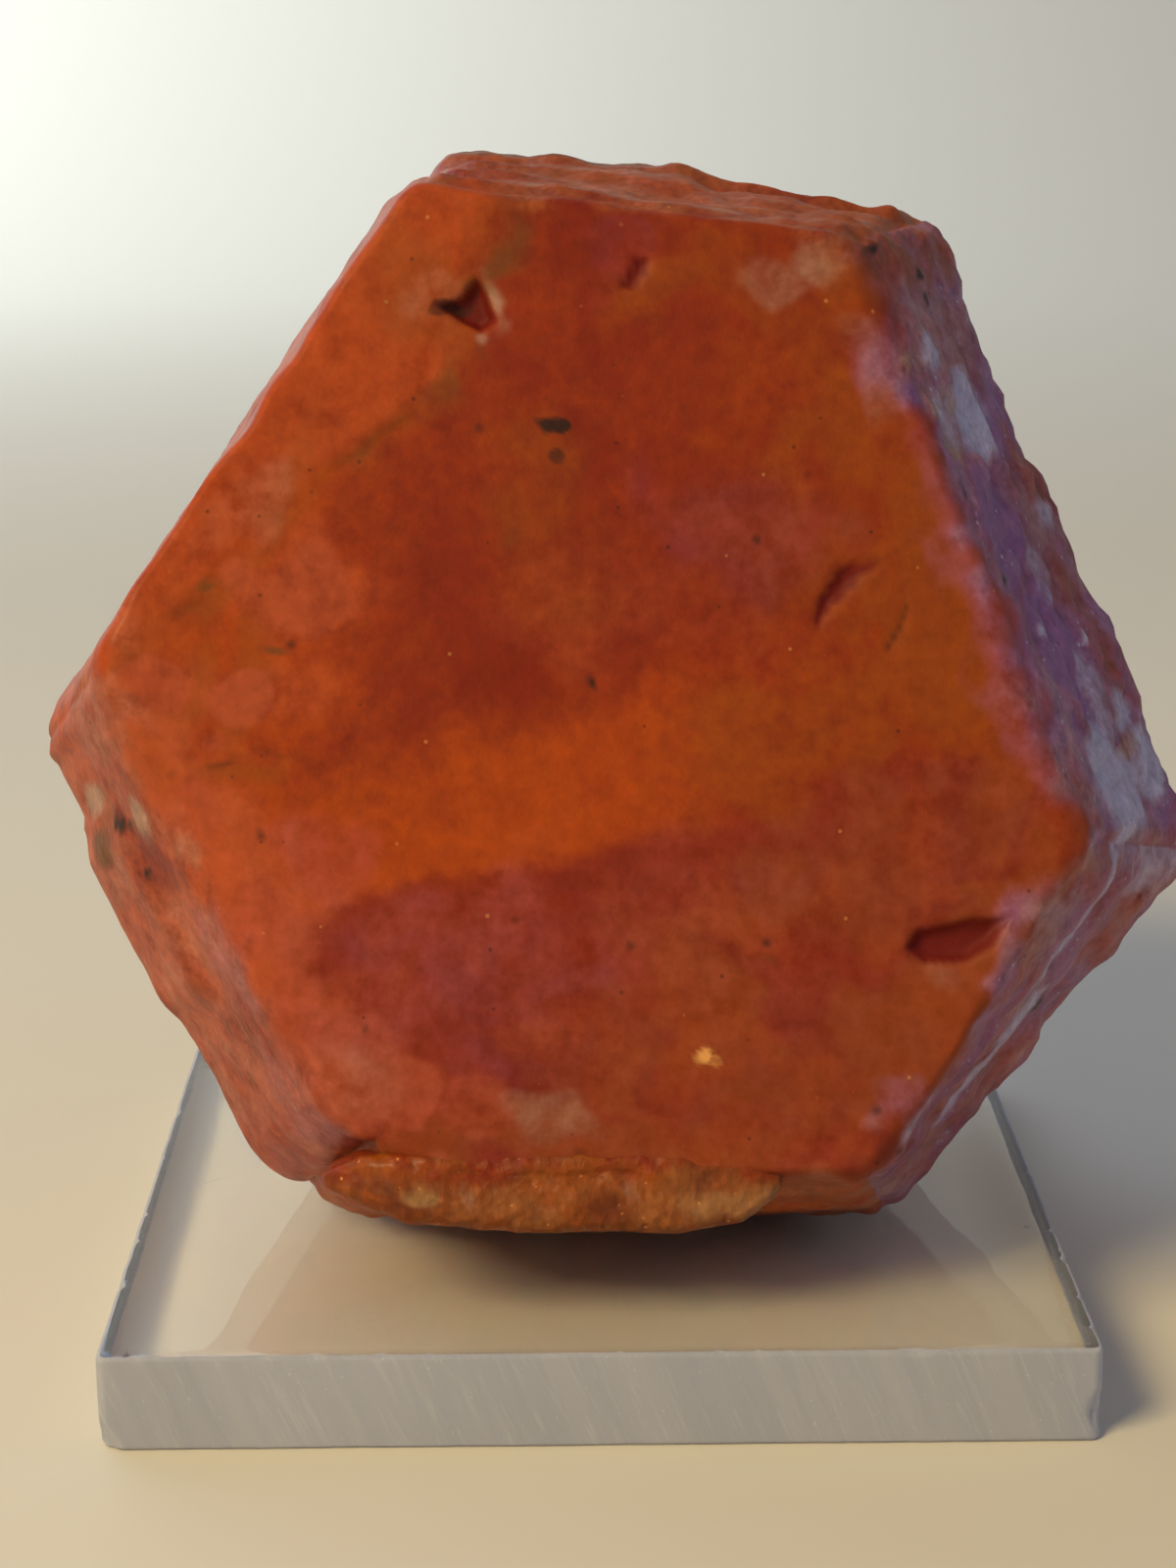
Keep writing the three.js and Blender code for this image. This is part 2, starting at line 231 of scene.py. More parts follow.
# %% Relief of the sides
STEP_DEPTHS = np.array([0.9, 3.3, 6.2, 9.6, GIRDLE_DEPTH, 17, 21.6, 26.2, 30.4, BACK_DEPTH])
STEP_RISE = 0.55
STEP_STRENGTHS = np.array([0.12, 0.7, 0.15, 0.05, 0.75, 0.35])
LUMP_STRENGTHS = np.array([0.35, 0.9, 0.35, 0.2, 1.0, 0.5])
GRAIN_STRENGTHS = np.array([1.3, 1.0, 0.7, 0.35, 1.0, 1.0])
BEAD_STRENGTHS = np.array([0.5, 0.2, 0.12, 0.1, 0.3, 0.3])
BEAD_SIZE = 1.5
STEP_WANDER = 0.9
SIDE_RELIEF = [(0.7, 7.5), (0.35, 3.2)]
FINE_RELIEF = [(0.42, 2.1), (0.2, 1.05)]
CORNER_REACH, CORNER_WEAR, CORNER_CALM = 1.5, 0.4, 2.0
EDGE_CALM = 2.5
PLACE_SLOPE = 0.45
# side, along, depth, half along, half deep, height
PLACES = [
    ("top", 2.5, 10.5, 4.5, 4.5, 0.45),
    ("top", -9.5, 9.5, 2.4, 5.0, -0.12),
    ("right", 8.0, 12.0, 4.5, 4.0, -0.35),
    ("right", -8.0, 12.5, 3.0, 3.5, 0.4),
    ("right", 16.5, 12.0, 2.5, 4.0, 0.2),
    ("lower_right", 5.0, 11.5, 2.5, 3.0, -0.4),
    ("lower_left", -1.5, 11.5, 5.0, 5.0, 0.6),
    ("lower_left", -10.0, 10.5, 2.0, 3.5, -0.4),
]


def stepped_depth(depth):
    """The depth whose outline a growth step holds: it jumps to the next step's over a short run."""
    k = np.clip(np.searchsorted(STEP_DEPTHS, depth, side="right"), 1, len(STEP_DEPTHS) - 1)
    rise = smooth((depth - STEP_DEPTHS[k - 1]) / STEP_RISE)
    held = STEP_DEPTHS[k - 1] + (STEP_DEPTHS[k] - STEP_DEPTHS[k - 1]) * rise
    return np.where((depth < STEP_DEPTHS[0]) | (depth >= STEP_DEPTHS[-1]), depth, held)


def place_height(side, along, depth):
    """The raised and sunken places: a box along the side and in depth, with eased rims."""
    total = np.zeros(along.shape)
    reach = 1 + PLACE_SLOPE / 2
    for name, at, deep, half_along, half_deep, out in PLACES:
        a = np.abs(along - at) / half_along
        d = np.abs(depth - deep) / half_deep
        box = smooth((reach - a) / PLACE_SLOPE) * smooth((reach - d) / PLACE_SLOPE)
        total += np.where(side == SIDE_NAMES.index(name), out * box, 0.0)
    return total


def chip_depth(chips, distance):
    """How deep a corner's chip is at a distance from the corner."""
    return chips[:, 0] * np.clip(1 - distance / chips[:, 1], 0, None) ** 1.5


print("growth steps at depths", STEP_DEPTHS.tolist())

# %% [markdown]
# The front face is nearly a mirror-flat basal plane, and what it has is shallow: an overgrown strip
# along its upper left edge with a crease beside it, a few etched pits, cracks and a slit. A pit is
# the distance to its outline turned into a depth, which gives a wall that slopes and a flat floor.

# %% Relief of the front face, from the axis
FRONT_RELIEF = [(0.14, 9.0)]
FRONT_RIPPLE = [(0.05, 2.6), (0.025, 0.9)]
CREASE = [
    (-24, 0.5), (-21.8, 3.7), (-17.5, 8.6), (-13.6, 11.8), (-9.6, 14.2), (-8.6, 17), (-7.6, 21),
    (-5.4, 26),
]
CRACK = [(-22.2, -3.7), (-20.5, -3.3), (-19.2, -3.1), (-18.4, -2.5), (-17.4, -2.3), (-16.4, -2.7)]
SLIT = [(15.4, 4.7), (15.0, 3.6), (14.3, 2.5)]
# each pit is its outline, its depth and the reach of its wall
PITS = [
    (
        [
            (15.3, -12.6), (15.8, -11.7), (18, -11.3), (20.5, -11.1), (19.7, -12.5), (18.3, -13.3),
            (16.1, -13.4),
        ],
        0.7, 0.8,
    ),
    ([(10.8, 3.9), (11, 5.3), (12.1, 6.7), (14.2, 7.4), (13, 6.1), (11.8, 5)], 0.45, 0.7),
    ([(-8.4, 20.3), (-7, 20.8), (-6.3, 21.7), (-5.2, 19.5), (-6.2, 18.9)], 0.8, 0.7),
    ([(1.1, 21.3), (1.9, 22.8), (2.5, 22.7), (1.7, 21.1)], 0.35, 0.5),
]


def path_distance(x, y, path):
    """Distance from each point to a broken line: the least of the distances to its straight runs."""
    best = np.full(x.shape, FAR)
    for (ax, ay), (bx, by) in zip(path[:-1], path[1:]):
        length2 = (bx - ax) ** 2 + (by - ay) ** 2
        t = np.clip(((x - ax) * (bx - ax) + (y - ay) * (by - ay)) / length2, 0, 1)
        best = np.minimum(best, np.hypot(x - ax - t * (bx - ax), y - ay - t * (by - ay)))
    return best


def inside_distance(x, y, outline):
    """Distance to a closed outline, positive inside it: crossings to the right decide the sign."""
    loop = list(outline) + [outline[0]]
    inside = np.zeros(x.shape, bool)
    for (ax, ay), (bx, by) in zip(loop[:-1], loop[1:]):
        if ay != by:
            crosses = ((ay > y) != (by > y)) & (x < (bx - ax) * (y - ay) / (by - ay) + ax)
            inside ^= crosses
    return np.where(inside, 1.0, -1.0) * path_distance(x, y, loop)


def pit_mask(x, y):
    """1 inside a pit's crisp outline and 0 outside it, and the depth, whose wall is gentler."""
    mask, drop = np.zeros(x.shape), np.zeros(x.shape)
    ragged = 0.3 * noise(x / 1.1, y / 1.1, 3.0)
    for outline, depth, slope in PITS:
        inside = inside_distance(x, y, outline) + ragged
        mask = np.maximum(mask, smooth(inside / 0.3 + 0.5))
        drop = np.maximum(drop, depth * smooth(inside / slope + 0.35))
    return mask, drop


def crease_side(x, y):
    """Signed distance to the crease, positive on the overgrown strip at its upper left."""
    path = np.array(CREASE)
    left = x < np.interp(y, path[:, 1], path[:, 0])
    return np.where(left, 1.0, -1.0) * path_distance(x, y, CREASE)


def front_height(x, y):
    """How far the front face stands out: broad and fine ripples, a strip raised beside the crease,
    grooves along the crease, the crack and the slit, and the pits."""
    wander = 0.5 * noise(x / 2.2, y / 2.2, 7.0)
    strip = crease_side(x, y) + wander
    height = relief(FRONT_RELIEF, x, y, 0.0) + relief(FRONT_RIPPLE, x, y, 4.0)
    here = smooth(0.4 + 2.4 * noise(x / 3.0, y / 3.0, 8.0))
    height += 0.06 * smooth(strip / 2.2 + 0.5) - 0.05 * here * np.exp(-(strip / 0.4) ** 2)
    height -= 0.04 * np.exp(-((path_distance(x, y, CRACK) + wander / 2) / 0.25) ** 2)
    height -= 0.1 * np.exp(-(path_distance(x, y, SLIT) / 0.2) ** 2)
    return height - pit_mask(x, y)[1]


print("pits:", len(PITS), "deepest", max(depth for _, depth, _ in PITS), "mm")

# %% [markdown]
# The back is the other end of the crystal. It isn't in the picture, so it gets what such ends have:
# low growth terraces with six-sided outlines, lumps, and a sugary break.

# %% Relief of the back face
TERRACE_SLOPE = 0.06
TERRACES = [(0.74, 1.5, -1.0, 0.8), (0.45, -2.5, 2.0, 0.7)]
BACK_RELIEF = [(0.9, 8.0), (0.4, 3.0)]
BACK_CALM = 0.17


def back_height(x, y, share):
    """Terraces: each rises where the point lies inside the back outline shrunk to its share."""
    normal, offset = side_planes(np.array([BACK_DEPTH]))
    rise = np.zeros(x.shape)
    for size, shift_x, shift_y, height in TERRACES:
        out = [normal[s, 0, 0] * (x - shift_x) + normal[s, 0, 1] * (y - shift_y) for s in range(6)]
        reach = np.max([distance / offset[s, 0] for s, distance in enumerate(out)], axis=0)
        rise += height * smooth((size - reach) / TERRACE_SLOPE + 0.5)
    lumps = relief(BACK_RELIEF, x, y, BACK_DEPTH) + relief(FINE_RELIEF, x, y, BACK_DEPTH)
    return rise + lumps * smooth((1 - share) / BACK_CALM)


print("terraces:", len(TERRACES))

# %% [markdown]
# Now the skin itself: one grid. One direction goes round the section, side by side, with points
# gathered towards the corners. The other starts in the middle of the front face, crosses its worn
# edge, runs down the sides and ends in the middle of the back, so a single surface closes at two
# poles and has no seam to hide.

# %% The skin as a function of two parameters
POINTS_PER_SIDE = 84
GATHER = 0.45
FRONT_WEARS = [1.0, 0.5, 0.45, 2.4, 0.35, 0.8]
WEAR_ENDS = 8.0
BACK_WEAR = 1.1
EDGE_RELIEF = [(0.6, 5.5), (0.3, 2.0)]
RIM_DEPTH = 4.0
REST_FROM, REST_RUN = 9.0, 3.0
INNER_RINGS, OUTER_RINGS, OUTER_FROM = 16, 78, 0.46
ARC_RINGS, UPPER_RINGS, BACK_RINGS = 8, 20, 22
FINE_STEP, FINE_ENDS, COARSE_STEP = 0.4, 13.3, 0.62


def columns():
    """For each column round the section: its side, how far along the side as a share, and the
    radius of the worn front edge there, which passes smoothly from one side's to the next's."""
    t = np.arange(POINTS_PER_SIDE) / POINTS_PER_SIDE
    t = np.tile(t - GATHER * np.sin(2 * math.pi * t) / (2 * math.pi), 6)
    side = np.repeat(np.arange(6), POINTS_PER_SIDE)
    wear = np.array(FRONT_WEARS)
    near, towards = wear[side], np.where(t > 0.5, wear[(side + 1) % 6], wear[(side - 1) % 6])
    wear = near + (towards - near) * 0.5 * smooth((np.abs(2 * t - 1) - 0.6) / 0.4)
    turn = 2 * math.pi * (side + t) / 6
    return side, t, wear * (1 + 1.1 * noise(5 * np.cos(turn), 5 * np.sin(turn), 50.0))


def skin_rings(wear):
    """Share of the way out, inset and depth for every ring and column, front pole to back pole. The
    outer part of the front face, where the pits are, has the closest rings."""
    quarter = np.linspace(0, math.pi / 2, ARC_RINGS + 1)[1:, None]
    narrow, steep = 1 - np.cos(quarter), 1 - np.sin(quarter)
    inner = np.linspace(0.02, OUTER_FROM, INNER_RINGS + 1)[:-1]
    front = np.concatenate([inner, np.linspace(OUTER_FROM, 1.0, OUTER_RINGS)])[:, None]
    upper = np.linspace(0, 1, UPPER_RINGS + 1)[1:, None]
    fine = np.arange(WEAR_ENDS + FINE_STEP, FINE_ENDS, FINE_STEP)
    coarse = np.arange(FINE_ENDS + FINE_STEP, BACK_DEPTH - BACK_WEAR, COARSE_STEP)
    lower = np.concatenate([fine, coarse])[:, None]
    back = np.linspace(0.98, 0.03, BACK_RINGS)[:, None]
    flat, deep = np.zeros(wear.shape)[None], BACK_DEPTH + np.zeros(wear.shape)[None]
    rows = [
        (front, wear * front, flat + 0 * front),
        (1 + 0 * quarter, wear * steep, wear * narrow),
        (1 + 0 * upper, flat + 0 * upper, wear + (WEAR_ENDS - wear) * upper),
        (1 + 0 * lower, flat + 0 * lower, flat + lower),
        (1 + 0 * quarter, flat + BACK_WEAR * narrow, deep - BACK_WEAR * steep),
        (back, flat + BACK_WEAR * back, deep + 0 * back),
    ]
    share, inset, depth = (np.concatenate([row[n] + flat for row in rows]) for n in range(3))
    return share, inset, depth


def worn_corners(side, to_start, to_end, share, middle):
    """What the corners have lost: a little wear at each, its chip down the sides, and the part of
    the chip that reaches the front face."""
    chips, kept = np.array(CHIPS), np.array(FRONT_CHIPS)
    near_start, near_end = chip_depth(chips[side - 1], to_start), chip_depth(chips[side], to_end)
    front_chip = near_start * kept[side - 1] + near_end * kept[side]
    to_corner = np.minimum(to_start, to_end)
    wear = CORNER_WEAR * np.clip(1 - to_corner / CORNER_REACH, 0, None) ** 2 * share ** 2
    return wear + (near_start + near_end) * middle + front_chip * (1 - middle) * share ** 6


def side_lift(side, along, point, depth, ring_depth, fade, middle):
    """How far the sides stand out: growth steps, lumps, and raised and sunken places, which calm down
    at corners and ends and where the crystal rests, and then grain and beads."""
    x, y = point[..., 0], point[..., 1]
    resting = smooth((ring_depth - REST_FROM) / REST_RUN)
    resting = np.where(side == SIDE_NAMES.index("bottom"), resting, 0.0)
    rise = side_planes(stepped_depth(ring_depth))[1] - side_planes(ring_depth)[1]
    rise = rise[side, :, np.arange(len(side))].T
    strength = STEP_STRENGTHS[side] * smooth(0.5 + 1.6 * noise(x / 9, y / 9, ring_depth / 6))
    lumps = relief(SIDE_RELIEF, x, y, depth) * LUMP_STRENGTHS[side]
    lift = (rise * strength * fade + lumps * middle) * (1 - resting)
    lift = lift + place_height(side, along, depth) * fade * middle
    grain = relief(FINE_RELIEF, x, y, depth) * GRAIN_STRENGTHS[side]
    near = cells(x / BEAD_SIZE, y / BEAD_SIZE, depth / BEAD_SIZE)[0]
    beads = BEAD_STRENGTHS[side] * (USUAL_GAP - near)
    return lift + (grain + beads) * smooth((ring_depth - 0.3) / 1.5)


def skin_grid():
    """The skin before its end faces get their heights: for each ring and column the point from the
    axis, the depth, which side it is on, how far along it, and how far past the front edge."""
    side, t, front_wear = columns()
    s, inset, d = skin_rings(front_wear)
    corner = corners(d)
    column = np.arange(len(side))
    end = corner[side, :, column].swapaxes(0, 1)
    start = corner[side - 1, :, column].swapaxes(0, 1)
    run = end - start
    point = start + run * t[:, None]
    length = np.linalg.norm(run, axis=-1)
    along = (t - 0.5) * length + ((start + end) / 2 * run).sum(-1) / length
    to_start, to_end = t * length, (1 - t) * length
    fade = smooth(np.minimum(to_start, to_end) / CORNER_CALM)
    middle = smooth((d - STEP_DEPTHS[0]) / EDGE_CALM) * smooth((BACK_DEPTH - 0.5 - d) / EDGE_CALM)

    x, y = point[..., 0], point[..., 1]
    depth = d + STEP_WANDER * noise(x / 6, y / 6, d / 40) * middle
    rim = relief(EDGE_RELIEF, x, y, d) * smooth((s - 0.8) / 0.2) * smooth((RIM_DEPTH - d) / RIM_DEPTH)
    lift = np.where(s == 1, side_lift(side, along, point, depth, d, fade, middle), 0.0)
    lift = lift + rim - worn_corners(side, to_start, to_end, s, middle) - inset
    outward = point / np.linalg.norm(point, axis=-1, keepdims=True)
    point = point * s[..., None] + outward * lift[..., None]
    inward = np.where(d > BACK_DEPTH / 2, 0.0, (1 - s) * np.linalg.norm(point, axis=-1) / s)
    return {
        "x": point[..., 0], "y": point[..., 1], "depth": depth, "side": side + np.zeros(x.shape, int),
        "along": along, "share": s, "ring_depth": d, "past_edge": d - inward, "wear": front_wear + 0 * x,
    }


grid = skin_grid()
print("skin grid:", grid["x"].shape, "rings and columns")

# %% [markdown]
# The faces' own heights go on last, in depth. Nothing may pass through the plate, so a point that
# would is lifted to just above it, which also makes the flat that the crystal rests on.

# %% Heights of the two end faces, and the resting flat
def finish_skin(g):
    """Depth less the front face's height, or plus the back's, and v held above the plate."""
    x, y = g["x"], g["y"]
    edge = 1 - smooth(g["ring_depth"] / g["wear"])
    depth = g["depth"] - front_height(x, y) * edge
    on_back = g["ring_depth"] >= BACK_DEPTH
    depth = depth + np.where(on_back, back_height(x, y, g["share"]), 0.0)
    u = AXIS_U + x
    lowest = depth * math.tan(LEAN) + REST_GAP / math.cos(LEAN)
    v = np.maximum(AXIS_V + y, lowest)
    return u, v, depth


u, v, depth = finish_skin(grid)
print("crystal is", round(float(np.ptp(u)), 1), "mm across and", round(float(np.ptp(depth)), 1), "mm thick")

# %% [markdown]
# A closed grid becomes a mesh in one call each for points and faces. The helper makes the two fans
# at the poles, and it carries any number of masks as attributes, one number for each point.

# %% From a grid to a mesh
def closed_mesh(name, rings, first_pole, last_pole, masks=None):
    """Quads between neighbouring rings, a fan at each pole. Rings has shape (rings, columns, 3) in
    world millimetres and runs so that faces point outwards. Masks map a name to (grid, first, last)."""
    count, around = rings.shape[:2]
    points = np.concatenate([rings.reshape(-1, 3), [first_pole], [last_pole]]) * MM
    index = np.arange(count * around).reshape(count, around)
    after = np.roll(index, -1, axis=1)
    quads = np.stack([index[:-1], index[1:], after[1:], after[:-1]], axis=-1).reshape(-1, 4)
    first, last = count * around, count * around + 1
    fan = np.stack([np.full(around, first), index[0], after[0]], axis=-1)
    end = np.stack([index[-1], np.full(around, last), after[-1]], axis=-1)
    mesh = bpy.data.meshes.new(name)
    mesh.from_pydata(points.tolist(), [], quads.tolist() + fan.tolist() + end.tolist())
    mesh.polygons.foreach_set("use_smooth", np.ones(len(mesh.polygons), bool))
    for mask, (values, at_first, at_last) in (masks or {}).items():
        values = np.concatenate([values.ravel(), [at_first, at_last]])
        layer = mesh.attributes.new(mask, "FLOAT", "POINT")
        layer.data.foreach_set("value", values.astype(np.float32))
    mesh.update()
    piece = bpy.data.objects.new(name, mesh)
    bpy.context.scene.collection.objects.link(piece)
    print(name, "has", 2 * len(quads) + 2 * around, "triangles")
    return piece


# %% [markdown]
# Colour in this stone is patchy: rusty iron stain in bands, rosy cells, violet and milky zones, mossy
# smudges and dark specks; part of the violet is painted cool sheen, the shaded underside has painted light.
# Each kind is a mask on the mesh, from listed clouds and paths roughened by noise. The material then mixes
# one paint for each mask. A picture could carry them too, but masks stay sharp, need no unwrapping and can
# be edited by name.

# %% Helpers for the masks
def warped(x, y):
    """The same points moved about by up to a millimetre or two, so that shapes placed by hand lose
    their evenness: two octaves of noise for each direction."""
    moved_x = x + relief([(3.0, 4.4), (1.5, 1.7)], x, y, 71.0)
    moved_y = y + relief([(3.0, 4.4), (1.5, 1.7)], x, y, 75.0)
    return moved_x, moved_y


def cloud(x, y, at, half, turn=0.0, soft=0.9, rough=1.1, wave=2.4):
    """A soft-edged ellipse: 1 inside, 0 outside, its edge moved about by noise."""
    c, s = math.cos(math.radians(turn)), math.sin(math.radians(turn))
    a = ((x - at[0]) * c + (y - at[1]) * s) / half[0]
    b = (-(x - at[0]) * s + (y - at[1]) * c) / half[1]
    distance = np.hypot(a, b) + rough * noise(x / wave, y / wave, at[0] + 5.0)
    return smooth((1 - distance) / soft + 0.5)


def clouds(x, y, spots, soft=0.9, rough=1.1):
    """The strongest of several clouds, each (strength, u, v, half across, half up, turn)."""
    total = np.zeros(x.shape)
    for strength, at_x, at_y, half_x, half_y, turn in spots:
        total = np.maximum(total, strength * cloud(x, y, (at_x, at_y), (half_x, half_y), turn, soft, rough))
    return total


def between(x, y, low, high, low_soft, high_soft):
    """1 between two curves given as v at some u, easing out over each curve's own softness."""
    low, high = np.array(low), np.array(high)
    wander = 1.6 * noise(x / 3.1, y / 3.1, 11.0) + 0.7 * noise(x / 1.1, y / 1.1, 12.0)
    above = (y - np.interp(x, low[:, 0], low[:, 1]) + 0.6 * wander) / low_soft
    below = (np.interp(x, high[:, 0], high[:, 1]) - y + 1.2 * wander) / high_soft
    return smooth(above + 0.5) * smooth(below + 0.5)


def dots(x, y, places, size):
    """Small round marks: 1 at each place, gone within its size."""
    total = np.zeros(x.shape)
    for at_x, at_y, strength in places:
        total = np.maximum(total, strength * np.exp(-(((x - at_x) ** 2 + (y - at_y) ** 2) / size ** 2)))
    return total


print("mask helpers ready")

# %% [markdown]
# The masks of the front face follow what shows there: a rusty band that climbs to the right, warm
# patches down the right-hand strip, a lighter strip along the upper left with rosy cells below it,
# redder ground under the band, and olive smudges along the crease.

# %% Masks of the front face
BAND_LOW = [
    (-24, -17), (-17.2, -14), (-16.4, -12), (-15.6, -10.8), (-13.9, -10.1), (-11.3, -9.7), (-8.9, -8.9),
    (-2.9, -8.6), (-0.2, -7.5), (5.7, -6.4), (14, -3),
]
BAND_HIGH = [(-24, -6), (-16, -4), (-9.2, -2), (-4.7, -1), (0.3, 0.9), (6.3, 2.6), (10.8, 3.2), (20, 5)]
# clouds: strength, place, half sizes and turn
RUST_CLOUDS = [
    (0.8, -2, -22.8, 13, 1.5, 0), (0.6, 9.5, -19.5, 4.5, 2.6, 20), (0.6, 14.0, -8.0, 3.0, 4.0, 0),
    (0.5, -3.5, 10.0, 2.2, 4.2, 20), (0.9, 17.5, 5, 4, 8, 15), (0.75, 12.5, 13, 2.2, 5, 20),
    (0.7, 20.5, -4, 3, 5, 10), (1.0, 20.6, -13.2, 2.6, 2.4, 30), (0.85, 15.5, -17.5, 5.0, 4.2, 40),
    (0.7, 9.5, -1, 6, 3, 10), (0.6, 3.8, 20.5, 3.2, 1.2, 20), (0.75, -9.5, 21.5, 3.0, 3.4, 0),
    (0.85, -19.3, 5.5, 3.2, 1.0, 48), (0.8, -17.8, 1.2, 1.0, 3.6, -20), (0.8, -20.5, -3.2, 4.5, 0.8, 5),
    (0.5, 6.5, -21.5, 6, 1.5, 0), (0.5, 12.5, 18.5, 2.4, 3, 0), (0.8, -22.5, -1.5, 1.0, 4.2, -30),
    (0.45, 2, -17.5, 5, 3.5, 0), (0.5, -15.5, 12.5, 1.2, 3.4, -40),
]
ROSE_CLOUDS = [
    (0.8, -15.6, 5.6, 3.6, 3.0, 0), (1.0, -20.9, 0.8, 1.3, 1.5, 0), (1.0, -16.6, 0.8, 1.7, 1.9, 0),
    (0.7, -19.3, -2.0, 1.2, 0.9, 0), (1.0, -20.6, -5.4, 1.7, 1.9, 20),
    (0.7, -19.0, 13.5, 3.2, 6.5, -34), (0.7, -17.0, -13.6, 1.3, 2.2, 0), (0.5, -8, -14, 7, 5, 0),
    (0.45, 2, 4.6, 6, 3, 0), (0.5, -13, -19.5, 3, 2.4, 0), (0.35, 5, -12, 6, 3, 0),
    (0.6, -23, 3.5, 1.5, 2.5, 45),
]
ROSE_CELLS = [
    (0.9, -22.6, 1.0, 1.5, 1.3, 0), (1.0, -17.9, 0.6, 1.8, 1.9, 0), (0.8, -16.0, 5.2, 3.2, 2.5, 10),
    (0.7, -19.9, -2.0, 1.1, 0.8, 0), (1.0, -20.5, -5.3, 1.9, 1.6, -50),
    (0.8, -17.5, -11.2, 1.0, 2.2, 10), (0.8, -13.8, -17.4, 1.8, 2.2, 0),
    (0.8, -10.6, -19.4, 1.9, 1.6, 0), (0.5, -6.5, -20.4, 1.7, 1.4, 0), (0.6, -14.4, -20.8, 1.2, 1.1, 0),
]
PLUM_CLOUDS = [
    (0.5, -8.5, -11.5, 6.5, 2.2, 0), (0.5, -6, -15.5, 5, 3, 0), (0.35, 7, 9.5, 4, 3, 0),
    (0.3, 8.5, -9.2, 4, 1.6, 10), (0.4, -14.5, -6.8, 3, 1.8, 0), (0.3, 1.0, 22.5, 1.6, 2.0, 0),
    (0.45, 17.5, 10, 1.2, 4.5, 18), (0.4, -13.5, -15.5, 3, 2.2, 0),
]
MILK_CLOUDS = [
    (0.55, -3.9, -21.9, 2.6, 1.0, -12), (0.9, 12.4, 23.4, 2.0, 1.2, -20), (0.5, 9.6, 22.6, 1.8, 0.9, 0),
    (0.35, -12.5, -18.8, 1.8, 1.5, 0), (0.3, -18, 11, 1.6, 3.6, -34), (0.3, 17.4, -14.3, 1.6, 0.6, -20),
    (0.3, -9.2, 21.4, 1.6, 1.4, 0), (0.3, 13.8, 17, 1.1, 2.6, 20),
]
MOSS_CLOUDS = [
    (0.75, -20.2, 6.1, 1.1, 0.45, 48), (0.7, -21.6, 3.9, 0.6, 0.4, 40),
    (0.8, -16.2, 3.0, 0.7, 0.5, -30), (0.75, -5.8, 23.9, 1.8, 1.1, 55), (0.6, -6.8, 22.1, 0.7, 0.6, 0),
    (0.75, -7.7, 20.3, 1.3, 0.5, 10), (0.4, -8.9, 15.8, 0.9, 1.8, 0), (0.4, -7.4, 18.2, 1.0, 1.0, 0),
    (0.5, -11.0, 13.3, 1.6, 0.4, 25), (0.4, -5.0, 8.4, 0.5, 1.3, 0), (0.45, 7.9, -12.3, 0.6, 0.3, 10),
    (0.5, 14.0, 24.5, 2.0, 0.9, -10),
]
SPECKS = [
    (-17.5, -6.6, 0.9), (-0.7, 1.0, 0.9), (7.8, 8.2, 0.8), (8.1, -12.3, 0.7), (1.2, -12.4, 0.5),
    (-15.9, 3.0, 0.8), (-12.2, -16.5, 0.5), (13.6, -20.8, 0.7), (20.8, -15.4, 0.6), (4.1, 15.0, 0.3),
    (-6.3, 14.0, 0.6), (-1.4, -22.8, 0.7), (10.4, 11.5, 0.4), (-4.6, -11.0, 0.4),
]
SPECK_SIZE = 0.26
# strength, place, half sizes, turn, softness, roughness, wavelength
CHAR_SPOTS = [
    (1.0, (-2.5, 14.1), (0.95, 0.42), 0, 0.5, 0.9, 0.5), (0.65, (-7.8, 20.2), (1.1, 0.4), 5, 0.6, 1.1, 0.6),
    (0.6, (-2.4, 12.6), (0.4, 0.5), 0, 0.5, 0.9, 0.5),
]
YELLOW_SPOT = (5.2, -18.1)
# the upper left pit's place in PITS
PALE_PIT = 2


